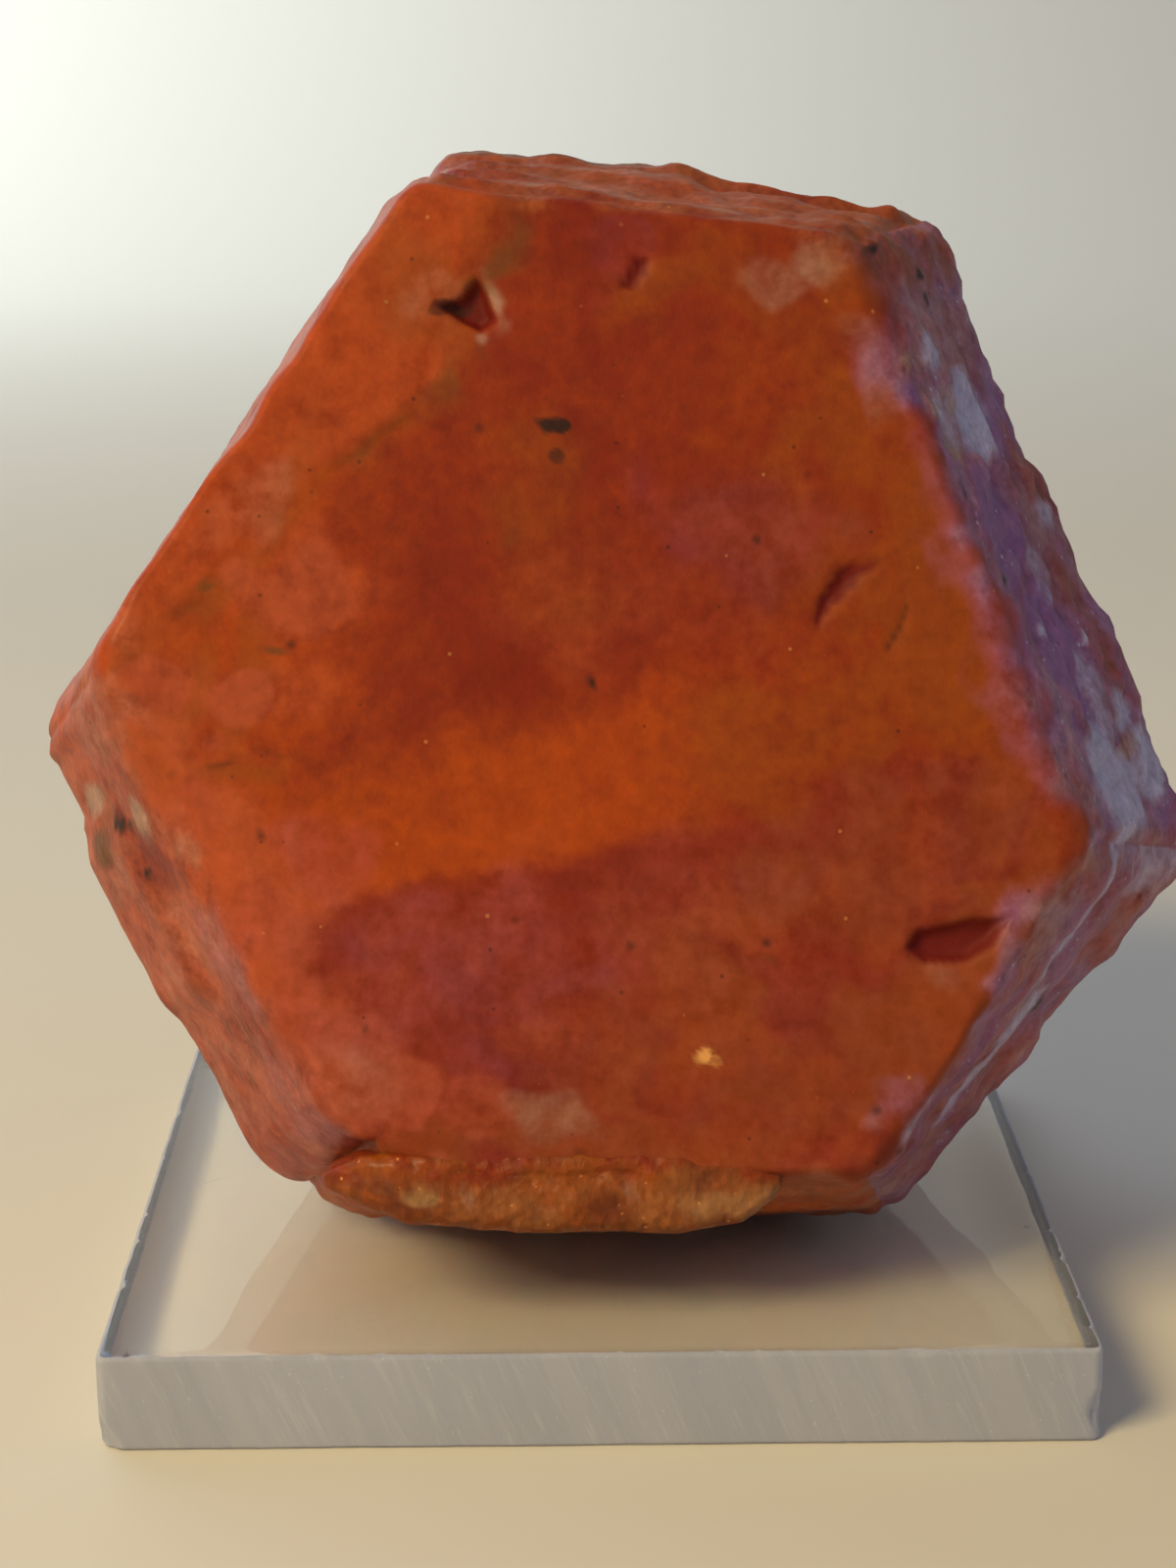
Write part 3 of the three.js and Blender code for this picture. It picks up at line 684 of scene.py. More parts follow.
def front_grounds(x, y, band, cell, vein):
    """Six masks of the face's own colours. The warm ones are the strongest of zones and clouds: a
    strip at the upper left, warmth to the right, ochre broken up by noise. Rosy cells hold them off."""
    strip = smooth((crease_side(x, y) + 1.0) / 2.6)
    left = smooth((-9.5 - x + 0.25 * y) / 9)
    right = smooth((x + 0.2 * y - 5) / 11)
    lower = smooth((np.interp(x, *np.array(BAND_LOW).T) - y) / 1.6 + 0.3)
    warm = smooth((x - 0.6 * y - 3) / 12)
    ochre = smooth(0.35 + 1.8 * noise(x / 3.2, y / 3.2, 31.0) + 1.2 * noise(x / 1.3, y / 1.3, 32.0))
    crease = np.exp(-((crease_side(x, y) + 0.8 * noise(x / 1.9, y / 1.9, 22.0)) / 0.9) ** 2)
    golden = smooth(0.4 + 2.2 * noise(x / 2.3, y / 2.3, 35.0) + 1.2 * noise(x / 0.9, y / 0.9, 36.0))
    glow = np.maximum(0.8 * band * (1 - 0.6 * smooth((x - 1) / 9)), 0.7 * np.maximum(strip, left))
    glow = np.maximum(glow, 0.35 * golden * np.maximum(warm, 0.5))
    stained = np.maximum(right * (0.3 + 0.6 * ochre), warm * (0.15 + 0.6 * ochre))
    rust = np.maximum(clouds(x, y, RUST_CLOUDS), stained)
    mottled = smooth(0.62 + 2.2 * noise(x / 1.3, y / 1.3, 46.0))
    return {
        "glow": np.maximum(glow, 0.7 * vein) * (1 - 0.75 * cell),
        "rust": np.maximum(rust, 0.5 * crease) * (1 - 0.8 * cell),
        "rose": np.maximum(np.maximum(clouds(x, y, ROSE_CLOUDS) * 0.35, 0.25 * strip), 0.85 * cell),
        "plum": np.maximum(clouds(x, y, PLUM_CLOUDS) * 0.17, 0.03 * lower),
        "milk": clouds(x, y, MILK_CLOUDS) * 0.42,
        "moss": clouds(x, y, MOSS_CLOUDS) * mottled,
    }


def front_chars(x, y):
    """The dark mask: specks, the crack and the slit by distance, and three small spots of clouds."""
    broken = smooth(0.5 + 2.5 * noise(x / 1.1, y / 1.1, 44.0))
    cracked = 0.45 * broken * np.exp(-(path_distance(x, y, CRACK) / 0.22) ** 2)
    char = np.maximum(dots(x, y, SPECKS, SPECK_SIZE), cracked)
    char = np.maximum(char, 0.5 * np.exp(-(path_distance(x, y, SLIT) / 0.16) ** 2))
    for strength, at, half, turn, soft, rough, wave in CHAR_SPOTS:
        char = np.maximum(char, strength * cloud(x, y, at, half, turn, soft, rough, wave))
    return char


def front_masks(x, y):
    """All the masks on the front face, each from 0 to 1. The grounds are read at warped places, and
    the small marks at the true ones. A chipped pale rim lies inside the upper left pit."""
    band = between(x, y, BAND_LOW, BAND_HIGH, np.interp(x, [-16, 0, 12], [0.7, 1.3, 4]), 4.5)
    cell = clouds(x, y, ROSE_CELLS, 0.4, 1.0)
    vein = np.exp(-(noise(x / 3.4, y / 3.4, 91.0) / 0.03) ** 2) * smooth((-11 - x) / 5)
    masks = front_grounds(*warped(x, y), band, cell, vein)
    rim = inside_distance(x, y, PITS[PALE_PIT][0]) + 0.3
    chipped = smooth(0.5 + 2.5 * noise(x / 0.8, y / 0.8, 45.0)) * smooth((x + 6.6) / 0.6)
    masks["milk"] = np.maximum(masks["milk"], 0.75 * chipped * np.exp(-(rim / 0.3) ** 2))
    masks["spark"] = cloud(x, y, YELLOW_SPOT, (0.55, 0.4), 0, 0.8, 1.2, 0.5)
    masks.update({"pit": pit_mask(x, y)[0], "char": front_chars(x, y), "frost": 0 * x, "lined": 0 * x})
    return masks


print("clouds on the front face:", len(RUST_CLOUDS + ROSE_CLOUDS + PLUM_CLOUDS + MILK_CLOUDS + MOSS_CLOUDS))

# %% [markdown]
# Each side has its own character: the right one is violet with pale patches and mica along its
# edge, part of that violet being painted cool sheen; the lower left one is salmon pink and sugary,
# the top brown orange, the lower right brown violet with milky streaks, its violet also partly
# painted sheen. The underside, which lies in shade, gets painted orange light. Round the back the
# same paints go on by noise alone.

# %% Masks of the sides and the back
# The violet share of the right and lower right sides is partly the stone's own violet and partly painted
# sheen, colour that stands in for cool daylight reflected there.
#                        rust  rose  plum  milk  moss
SIDE_TONES = {
    "right": (0.05, 0.1, 0.95, 0.25, 0.05),
    "top": (0.8, 0.2, 0.0, 0.03, 0.15),
    "upper_left": (0.6, 0.45, 0.0, 0.05, 0.05),
    "lower_left": (0.45, 0.75, 0.03, 0.12, 0.0),
    "bottom": (0.8, 0.3, 0.0, 0.15, 0.15),
    "lower_right": (0.2, 0.35, 0.6, 0.35, 0.1),
}
LINES = np.array([0.05, 0.4, 0.15, 0.0, 0.2, 0.4])
# Orange by side: on the underside, which lies in shade, it is painted light standing in for light coming
# through the stone; on the other sides it is orange in the stone.
ORANGE_AND_PAINTED_GLOWS = np.array([0.1, 0.3, 0.35, 0.1, 0.8, 0.2])
BACK_TONE = (0.3, 0.4, 0.45, 0.25, 0.1)
BACK_TONE_FROM, BACK_TONE_REACH = 14.0, 12.0
TONE_NAMES = ["rust", "rose", "plum", "milk", "moss"]
ZONE_MIDDLE, ZONE_HALF, ZONE_EASE = 1, 16, 4
# by side: along, depth, half sizes, paint and strength; and the same without paint for specks
SIDE_CLOUDS = {
    "right": [
        (14.0, 3.0, 4.5, 4.0, "rose", 0.45), (17.0, 2.5, 2.8, 4.0, "rust", 0.75),
        (12.0, 6.0, 3.5, 5.0, "milk", 0.4), (18.0, 7.0, 3.6, 6.5, "rust", 0.95),
        (7.2, 6.0, 2.3, 2.6, "frost", 1.0), (8.2, 3.2, 0.7, 1.8, "milk", 1.0),
        (6.2, 2.6, 1.3, 1.1, "milk", 1.0), (7.4, 3.0, 1.6, 1.2, "frost", 0.55),
        (11.2, 1.0, 0.5, 0.5, "milk", 0.8), (11.2, 3.5, 0.9, 0.8, "frost", 0.7),
        # the two broad violet clouds here are partly painted cool sheen
        (1.0, 4.2, 4.0, 3.0, "plum", 1.0), (-6.0, 6.0, 4.5, 3.2, "plum", 1.0),
        (3.9, 11.0, 3.2, 1.4, "rust", 0.8), (-5.5, 10.6, 4.0, 1.3, "rust", 0.8),
        (0.8, 10.8, 0.9, 0.9, "frost", 0.8), (-10.5, 9.9, 1.2, 1.0, "frost", 0.8),
        (-14.0, 11.0, 2.2, 1.8, "frost", 0.9), (-13.6, 6.0, 3.4, 3.0, "frost", 0.95),
        (-12.5, 8.8, 0.5, 2.4, "milk", 0.7), (-6.1, 9.2, 0.3, 0.3, "frost", 1.0),
        (-4.6, 4.3, 0.3, 0.3, "frost", 0.9), (-2.0, 7.5, 1.6, 1.0, "frost", 0.35),
        (-9.0, 7.6, 2.6, 1.2, "frost", 0.5),
    ],
    "lower_right": [
        (13.0, 8.5, 3.0, 3.5, "frost", 0.6), (-2.0, 6.7, 5.0, 0.45, "frost", 0.9),
        (6.0, 4.4, 5.5, 0.4, "frost", 0.8), (-9.6, 0.8, 2.6, 0.4, "frost", 0.7),
        (-4.0, 3.0, 6.0, 1.6, "plum", 0.7), (9.0, 7.0, 4.0, 2.0, "plum", 0.5),
    ],
    "lower_left": [
        (-6.1, 3.8, 1.3, 0.9, "milk", 0.9), (-8.7, 10.0, 0.9, 1.6, "milk", 0.9),
        (-7.4, 8.3, 1.3, 1.5, "rust", 1.0), (-5.9, 10.0, 1.0, 1.5, "moss", 1.0),
        (-3.7, 1.3, 0.9, 0.6, "milk", 1.0), (-1.3, 2.1, 1.1, 0.8, "glow", 1.0),
        (-3.9, 4.7, 2.0, 1.7, "pit", 0.45), (2.5, 2.6, 3.4, 2.4, "plum", 0.16),
        (10.9, 4.2, 4.0, 2.6, "plum", 0.14),
    ],
    "bottom": [
        (-12.0, 4.0, 4.0, 5.0, "rust", 0.8),
    ],
    "top": [
        (6.5, 12.0, 7.5, 2.0, "moss", 0.8), (-4.5, 12.5, 4.0, 1.6, "moss", 0.6),
        (-10.5, 6.0, 4.5, 5.0, "rust", 0.8), (9.0, 4.0, 3.5, 4.0, "rust", 0.5),
        (2.0, 2.4, 9.0, 0.5, "milk", 0.25),
    ],
}
SIDE_SPECKS = {
    "right": [
        (17.1, 1.4, 0.45, 0.9), (15.2, 6.5, 0.5, 0.5), (13.9, 6.2, 0.35, 0.35), (3.7, 1.3, 0.4, 0.4),
        (12.2, 5.6, 0.35, 0.3), (-1.2, 2.2, 0.35, 0.3),
    ],
    "lower_right": [
        (1.9, 7.6, 0.85, 0.5), (-10.3, 1.2, 0.4, 0.3),
    ],
    "lower_left": [
        (-6.7, 6.5, 0.6, 0.8), (-3.7, 6.2, 0.35, 0.35), (-6.3, 5.6, 0.4, 0.4),
    ],
}


def spot_distance(g, at, deep, half_along, half_deep):
    """How far the points of a side are from a spot's middle, in shares of its half sizes."""
    return np.hypot((g["along"] - at) / half_along, (g["depth"] - deep) / half_deep)


def side_masks(g):
    """The same masks on the sides: each side's tone, with painted cool sheen in the violet of the
    right-hand sides and painted light in the underside's orange, broken up by two noises, and then the
    clouds and specks placed on it. A cloud pushes the other paints back where it lies."""
    x, y, d, side = g["x"], g["y"], g["depth"], g["side"]
    tones = np.array([SIDE_TONES[name] for name in SIDE_NAMES])
    spread = smooth((g["ring_depth"] - BACK_TONE_FROM) / BACK_TONE_REACH)
    result = {}
    for n, name in enumerate(TONE_NAMES):
        own = tones[side, n] * (1 - spread) + BACK_TONE[n] * spread
        broad = noise(x / 4.0, y / 4.0, d / 5.0 + 40 + n)
        small = noise(x / 1.2, y / 1.2, d / 1.8 + 60 + n)
        result[name] = np.clip(own * (0.45 + 1.1 * smooth(0.5 + 1.5 * broad + 1.1 * small)), 0, 1)
    result.update({"pit": 0 * x, "spark": 0 * x, "frost": 0 * x, "glow": ORANGE_AND_PAINTED_GLOWS[side] * (1 - spread)})
    for name, spots in SIDE_CLOUDS.items():
        here = side == SIDE_NAMES.index(name)
        for at, deep, half_along, half_deep, tint, strength in spots:
            ragged = 0.6 * noise(x / 1.6, y / 1.6, d / 1.6 + at)
            distance = spot_distance(g, at, deep, half_along, half_deep) + ragged
            spot = np.where(here, strength * smooth((1 - distance) / 0.6 + 0.5), 0.0)
            for other in result:
                result[other] = result[other] * (1 - 0.7 * spot)
            result[tint] = np.maximum(result[tint], spot)
    char = np.zeros(x.shape)
    ragged = 0.5 * noise(x / 0.5, y / 0.5, d / 0.5)
    for name, spots in SIDE_SPECKS.items():
        here = side == SIDE_NAMES.index(name)
        for spot in spots:
            speck = smooth((1.2 - spot_distance(g, *spot) - ragged) / 0.6)
            char = np.where(here, np.maximum(char, speck), char)
    result["char"] = char
    result["lined"] = LINES[side] * smooth(0.6 + 1.5 * noise(x / 5, y / 5, d / 3))
    return result


def edge_zone(g, name, ragged, reach, width):
    """1 along one side's own stretch of the front edge, easing out over a width inside it."""
    away = smooth((ZONE_HALF - np.abs(g["along"] - ZONE_MIDDLE)) / ZONE_EASE)
    zone = smooth((g["past_edge"] + ragged + reach) / width) * away
    return np.where(g["side"] == SIDE_NAMES.index(name), zone, 0)


def skin_masks(g):
    """Front masks on the front face, side masks elsewhere, crossing over along a ragged edge."""
    front, sides = front_masks(g["x"], g["y"]), side_masks(g)
    ragged = relief([(4.4, 3.4), (2.4, 1.2)], g["x"], g["y"], g["depth"] + 80)
    cross = smooth((g["past_edge"] + 0.2 * g["wear"] + ragged) / (1.4 + 0.9 * g["wear"]))
    salmon = edge_zone(g, "lower_left", ragged, 4.5, 4.0)
    # Along the right-hand front edge a violet tint goes on; part of it is painted sheen where the rounded
    # edge meets cool light.
    violet = edge_zone(g, "right", ragged, 1.6, 1.8)
    front["rose"] = np.maximum(front["rose"], np.maximum(0.75 * salmon, 0.2 * violet))
    front["plum"] = np.maximum(front["plum"], 0.24 * violet)
    return {name: front[name] * (1 - cross) + sides[name] * cross for name in front}, cross


masks, cross = skin_masks(grid)
masks["side"] = cross
for name, values in masks.items():
    print("mask", name, "mean", round(float(values.mean()), 3), "most", round(float(values.max()), 2))

# %% [markdown]
# The masks and the skin's points now meet in one mesh. Its first and last points close the two
# poles. Every piece rides on the body root and takes the slot of its material.

# %% The crystal piece
surface = to_world(u, v, depth)
centre = np.zeros(1)
front_pole = to_world(AXIS_U, AXIS_V, -float(front_height(centre, centre)[0]))
back_pole = to_world(AXIS_U, AXIS_V, BACK_DEPTH + float(back_height(centre, centre, centre)[0]))
crystal = closed_mesh(
    "ruby_skin", surface, front_pole, back_pole,
    {name: (values, values[0].mean(), values[-1].mean()) for name, values in masks.items()},
)
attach(crystal, "root")

# %% [markdown]
# Under the front face hangs a ledge of yellow crust, many small crystals grown together. It is a
# second surface that sinks into the body: a rounded box section carried along the ledge, small at
# its ends, with grains from the cell function pushed out of it.

# %% The crust ledge
CRUST_LEFT, CRUST_RIGHT = -14.6, 8.9
CRUST_LOW = [
    (-14.6, -24.9), (-13.6, -25.2), (-11.8, -25.9), (-10.2, -26.5), (-5.5, -26.8), (-1, -27.0),
    (3.6, -27.1), (6.8, -26.7), (8.9, -25.7),
]
CRUST_TOPS = [(-14.6, -23.6), (-12.5, -22.8), (-9.5, -22.5), (8.9, -22.5)]
CRUST_FRONT, CRUST_BACK = -0.14, 12.3
CRUST_SINK, CRUST_SINK_FROM = 1.1, -10.5
CRUST_GRAINS = [(1.9, 0.16), (0.85, 0.14)]
CRUST_RELIEF = [(0.22, 4.0), (0.2, 1.7)]
CRUST_ROWS, CRUST_COLUMNS = 200, 150
CRUST_POWER = 0.42
GROOVE_V, GROOVE_DEEP, GROOVE_WIDTH = -24.1, 0.28, 0.3
GROOVE_FROM, GROOVE_TO = -8.5, 2.5
RED_FROM = 24.9


def crust_surface():
    """A rounded box section, powers of cosine and sine, in v and depth, carried along u. Its lower
    reach follows the ledge's outline, its size closes at both ends, and grains stand out of it."""
    t = np.linspace(0.004, 0.996, CRUST_ROWS)[:, None]
    a = (2 * math.pi * np.arange(CRUST_COLUMNS) / CRUST_COLUMNS)[None, :]
    x = CRUST_LEFT + (CRUST_RIGHT - CRUST_LEFT) * (0.5 - 0.5 * np.cos(math.pi * t)) + 0 * a
    end = (1 - np.abs(2 * (x - CRUST_LEFT) / (CRUST_RIGHT - CRUST_LEFT) - 1) ** 6) ** 0.25
    low = np.interp(x, *np.array(CRUST_LOW).T)
    top = np.interp(x, *np.array(CRUST_TOPS).T)
    half_v = (top - low) / 2 * end
    half_d = (CRUST_BACK - CRUST_FRONT) / 2 * (0.75 + 0.25 * end)
    c, s = np.cos(a), np.sin(a)
    vy = (top + low) / 2 + half_v * np.sign(s) * np.abs(s) ** CRUST_POWER
    dd = (CRUST_BACK + CRUST_FRONT) / 2 - half_d * np.sign(c) * np.abs(c) ** (CRUST_POWER / 2)
    dd = dd + CRUST_SINK * smooth((CRUST_SINK_FROM - x) / 4) * smooth(c)
    grain = np.zeros(x.shape)
    for size, out in CRUST_GRAINS:
        near, tint = cells(x / size, vy / size, dd / size)
        grain += out * (USUAL_GAP - near) * (0.6 + 0.8 * tint)
    grain += relief(CRUST_RELIEF, x, vy, dd)
    grooved = smooth((x - GROOVE_FROM) / 2) * smooth((GROOVE_TO - x) / 2)
    wander = 0.6 * noise(x / 1.8, 0.0, 0.0)
    groove = -GROOVE_DEEP * grooved * np.exp(-((vy - GROOVE_V + wander) / GROOVE_WIDTH) ** 2)
    out_v = np.sign(s) * np.abs(s) ** 0.8
    out_d = -np.sign(c) * np.abs(c) ** 0.8
    vy = vy + grain * 0.7 * out_v * end
    dd = dd + (grain + groove) * out_d * end
    vv = np.maximum(AXIS_V + vy, dd * math.tan(LEAN) + (REST_GAP + 0.05) / math.cos(LEAN))
    return x, vv, dd, grain


crust_x, crust_v, crust_d, crust_grain = crust_surface()
crust_points = to_world(AXIS_U + crust_x, crust_v, crust_d)
ends = [crust_points[0].mean(0), crust_points[-1].mean(0)]
lumps = smooth(0.5 + 1.2 * crust_grain)
crust_y = crust_v - AXIS_V
crust_red = smooth((crust_y + RED_FROM + 1.6 * noise(crust_x / 1.9, crust_v / 1.9, 2.0)) / 1.5)
crust_milk = np.maximum(
    cloud(crust_x, crust_y, (-9.6, -25.0), (1.0, 0.5), 0, 0.5, 0.5, 0.8),
    0.7 * cloud(crust_x, crust_y, (6.2, -25.6), (2.8, 0.9), 0, 0.8, 1.0, 1.2),
)
crust = closed_mesh(
    "crust_ledge", crust_points[:, ::-1], *ends,
    {
        "grain": (lumps[:, ::-1], 0.5, 0.5), "milk": (crust_milk[:, ::-1], 0, 0),
        "red": (crust_red[:, ::-1], 0, 0),
    },
)
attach(crust, "root")
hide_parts("ruby_crystal")
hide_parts("ruby_crystal")

# %% [markdown]
# Shader maths reads best as plain sums. The small class below holds one node socket and overloads
# the operators, so that an expression such as 1 - mask * 0.5 adds its own Math nodes. Colours go
# through Mix nodes instead, because a Math node turns a colour grey.

# %% Writing materials as expressions
class Wire:
    """One output socket of a material's node tree."""

    def __init__(self, finish, socket):
        self.finish, self.socket = finish, socket

    def _with(self, operation, *others):
        inputs = dict(enumerate((self,) + others))
        return self.finish.node("ShaderNodeMath", {"operation": operation}, inputs)[0]

    def __add__(self, other):
        return self._with("ADD", other)

    __radd__ = __add__

    def __sub__(self, other):
        return self._with("SUBTRACT", other)

    def __rsub__(self, other):
        return self.finish.node("ShaderNodeMath", {"operation": "SUBTRACT"}, {0: other, 1: self})[0]

    def __mul__(self, other):
        return self._with("MULTIPLY", other)

    def clamp(self):
        """Held between 0 and 1."""
        return self.finish.node("ShaderNodeClamp", {}, {0: self, 1: 0.0, 2: 1.0})[0]

    def ease(self, low, high):
        """0 below low, 1 above high, and a smooth rise between them."""
        settings = {"interpolation_type": "SMOOTHSTEP"}
        inputs = {0: self, 1: low, 2: high, 3: 0.0, 4: 1.0}
        return self.finish.node("ShaderNodeMapRange", settings, inputs)[0]


class Finish:
    """A material while it is being written."""

    def __init__(self, name):
        self.material = bpy.data.materials.new(name)
        self.material.use_nodes = True
        self.tree = self.material.node_tree
        self.tree.nodes.clear()
        self.place = self.node("ShaderNodeTexCoord")["Object"]

    def node(self, kind, settings=None, inputs=None):
        """Adds a node: its settings first, then a value or a wire for each socket named. Gives its
        outputs, which are asked for by name or number."""
        made = self.tree.nodes.new(kind)
        for key, value in (settings or {}).items():
            setattr(made, key, value)
        for key, value in (inputs or {}).items():
            if isinstance(value, Wire):
                self.tree.links.new(value.socket, made.inputs[key])
            else:
                made.inputs[key].default_value = value
        return Outputs(self, made)

    def mask(self, name):
        """A number kept for each point of the piece."""
        return self.node("ShaderNodeAttribute", {"attribute_name": name})["Fac"]

    def noise(self, size, detail=3.0, rough=0.55, place=None):
        """Noise of a size in millimetres, from 0 to 1 and mostly near a half."""
        inputs = {"Vector": place or self.place, "Scale": 1.0 / (size * MM)}
        inputs.update({"Detail": detail, "Roughness": rough})
        return self.node("ShaderNodeTexNoise", {}, inputs)["Fac"]

    def stretched(self, stretch, turn=(0.0, 0.0, 0.0)):
        """Coordinates for grain that runs one way: turned back from the grain's direction, and then
        divided by how far the pattern is drawn out along each axis."""
        inputs = {"Vector": self.place, "Rotation": tuple(-angle for angle in turn)}
        turned = self.node("ShaderNodeMapping", {"vector_type": "POINT"}, inputs)["Vector"]
        return self.node("ShaderNodeVectorMath", {"operation": "DIVIDE"}, {0: turned, 1: stretch})["Vector"]

    def cells(self, size):
        """Cells of a size in millimetres: the distance to the nearest centre, and a colour each."""
        inputs = {"Vector": self.place, "Scale": 1.0 / (size * MM)}
        return self.node("ShaderNodeTexVoronoi", {"feature": "F1"}, inputs)

    def mix(self, factor, first, second):
        """Second over first, by the factor."""
        settings = {"data_type": "RGBA", "blend_type": "MIX"}
        return self.node("ShaderNodeMix", settings, {0: factor, 6: first, 7: second})["Result", 2]

    def scaled(self, colour, amount):
        """The colour made lighter or darker by an amount near 1."""
        settings = {"operation": "SCALE"}
        return self.node("ShaderNodeVectorMath", settings, {0: colour, "Scale": amount})["Vector"]

    def bump(self, height, strength, distance_mm, normal=None):
        """A normal tilted by the slope of a height, on top of another bump's where one is given."""
        inputs = {"Height": height, "Strength": strength, "Distance": distance_mm * MM}
        if normal is not None:
            inputs["Normal"] = normal
        return self.node("ShaderNodeBump", {}, inputs)["Normal"]

    def surface(self, absorbs=None, density=0.0, **inputs):
        """The shader that ends the material, with an absorbing inside where a colour is given for it.
        Underscores in a name stand for spaces."""
        inputs = {name.replace("_", " "): value for name, value in inputs.items()}
        shader = self.node("ShaderNodeBsdfPrincipled", {}, inputs)
        ends = {"Surface": shader["BSDF"]}
        if absorbs is not None:
            inside = {"Color": absorbs, "Density": density}
            ends["Volume"] = self.node("ShaderNodeVolumeAbsorption", {}, inside)["Volume"]
        self.node("ShaderNodeOutputMaterial", {}, ends)
        return self.material


class Outputs:
    """The outputs of a node that was just added."""

    def __init__(self, finish, made):
        self.finish, self.made = finish, made

    def __getitem__(self, key):
        if isinstance(key, tuple):
            return Wire(self.finish, self.made.outputs[key[1]])
        return Wire(self.finish, self.made.outputs[key])


def paint(red, green, blue):
    """A colour from screen values of 0 to 255, as the shader's linear numbers."""
    screen = np.array([red, green, blue]) / 255.0
    linear = np.where(screen > 0.04045, ((screen + 0.055) / 1.055) ** 2.4, screen / 12.92)
    return (*map(float, linear), 1.0)


print("materials are written with Wire and Finish")

# %% [markdown]
# The stone itself: corundum is glassy where it is clean, waxy where it is etched, and light goes a
# little way into it, so the shader is a dielectric with a clear layer's gloss, a short red
# scatter below the surface, and small differences of roughness. The paints are mixed one over
# another by the masks, and fine noise breaks every edge.

# %% The ruby finish
RED = paint(138, 41, 9)
DEEP_RED = paint(125, 33, 10)
# The orange paint also stands for painted light on the shaded underside.
ORANGE = paint(184, 76, 4)
RUST = paint(146, 68, 8)
ROSE = paint(182, 84, 48)
PLUM_AND_PAINTED_SHEEN = paint(134, 88, 146)
# The violet paint is partly the stone's colour and partly painted sheen of cool daylight.
MILK = paint(176, 146, 128)
FROST = paint(180, 178, 208)
MOSS = paint(102, 64, 24)
CHAR = paint(52, 26, 18)
PIT = paint(104, 14, 10)
SPARK = paint(236, 170, 96)


def ruby_finish():
    """The paints over two reds, each by its mask with a ragged edge, some of them painted light; then
    darker and lighter grain, flecks and painted sparkle; then bumps of fine noise and sugary cells,
    strongest on the sides."""
    f = Finish("ruby_stone")
    fine = f.noise(0.9, 4.0, 0.6)
    middling = f.noise(2.1, 3.0)
    grain = f.noise(0.3, 2.0)
    side = f.mask("side")
    colour = f.mix(f.noise(7.0, 3.0).ease(0.3, 0.7), DEEP_RED, RED)
    edge = (fine - 0.5) * 2.6 + (middling - 0.5) * 4.0
    # Among these paints the orange one also carries painted light on the shaded underside, and the violet
    # one partly a painted cool sheen.
    paints = (
        ("glow", ORANGE, 0.8), ("rust", RUST, 0.8), ("rose", ROSE, 0.85), ("plum", PLUM_AND_PAINTED_SHEEN, 0.85),
        ("milk", MILK, 0.75), ("frost", FROST, 0.85), ("moss", MOSS, 0.85),
    )
    for name, tint, strength in paints:
        amount = f.mask(name)
        ragged = (amount + edge * amount * (1 - amount)).clamp() * strength
        colour = f.mix(ragged, colour, tint)
    colour = f.mix(f.mask("pit") * 0.9, colour, PIT)
    char = f.mask("char")
    colour = f.mix((char * 1.2 - 0.1 + edge * char * 0.3).clamp(), colour, CHAR)
    colour = f.mix(f.mask("spark") * fine.ease(0.3, 0.55) * 0.8, colour, SPARK)
    lines = f.noise(0.5, 3.0, 0.5, f.stretched((12.0, 1.0, 12.0), (-LEAN, 0.0, 0.0)))
    mottle = (fine - 0.5) * (0.5 + side * 0.5) + (grain - 0.5) * (0.15 + side * 0.3)
    colour = f.scaled(colour, mottle + (lines - 0.5) * f.mask("lined") * 0.9 + 1.0)
    flecks = f.cells(1.3)
    chosen = f.node("ShaderNodeSeparateColor", {}, {"Color": flecks["Color"]})
    dot = (flecks["Distance"] * -1 + 0.06 + fine * 0.1).ease(0.0, 0.06)
    colour = f.mix(dot * chosen["Red"].ease(0.8, 0.82) * 0.55, colour, CHAR)
    colour = f.mix(dot * chosen["Green"].ease(0.86, 0.88) * 0.3, colour, SPARK)
    # Painted sparkle: pale blue-white dots on the violet sides, standing in for light caught by small
    # facets.
    crystals = f.cells(0.5)
    picked = f.node("ShaderNodeSeparateColor", {}, {"Color": crystals["Color"]})
    painted_sparkle = (crystals["Distance"] * -1 + 0.3).ease(0.0, 0.12) * picked["Blue"].ease(0.7, 0.74)
    painted_sparkle = painted_sparkle * f.mask("plum") * side * middling.ease(0.45, 0.6)
    colour = f.mix(painted_sparkle * 0.8, colour, FROST)
    sugar = f.cells(0.55)
    low = f.bump(fine * 0.5 + grain * 0.4 + lines * f.mask("lined") * 1.4, 0.35, 0.12)
    normal = f.bump(sugar["Distance"] * (0.1 + side * (0.9 - f.mask("rose") * 0.6)), 0.45, 0.16, low)
    rough = 0.6 + (fine - 0.5) * 0.3 - side * 0.08
    return f.surface(
        Base_Color=colour, Roughness=rough, Normal=normal, IOR=1.76, Specular_IOR_Level=0.1,
        Coat_Weight=side * 0.1, Coat_Roughness=0.2, Subsurface_Weight=0.2,
        Subsurface_Radius=(1.0, 0.28, 0.12), Subsurface_Scale=0.002,
    )


crystal.data.materials.append(ruby_finish())
print("ruby finish:", len(crystal.data.materials[0].node_tree.nodes), "nodes")

# %% [markdown]
# The crust is the same mineral mixed with rusty mica and feldspar: yellow orange, more see-through
# and more sparkling than the crystal, its sparkle painted as bright glints, with pale grains and
# brown hollows between them.

# %% The crust finish
AMBER = paint(132, 64, 18)
HONEY = paint(150, 86, 38)
BROWN = paint(100, 42, 16)
CREAM = paint(190, 146, 96)


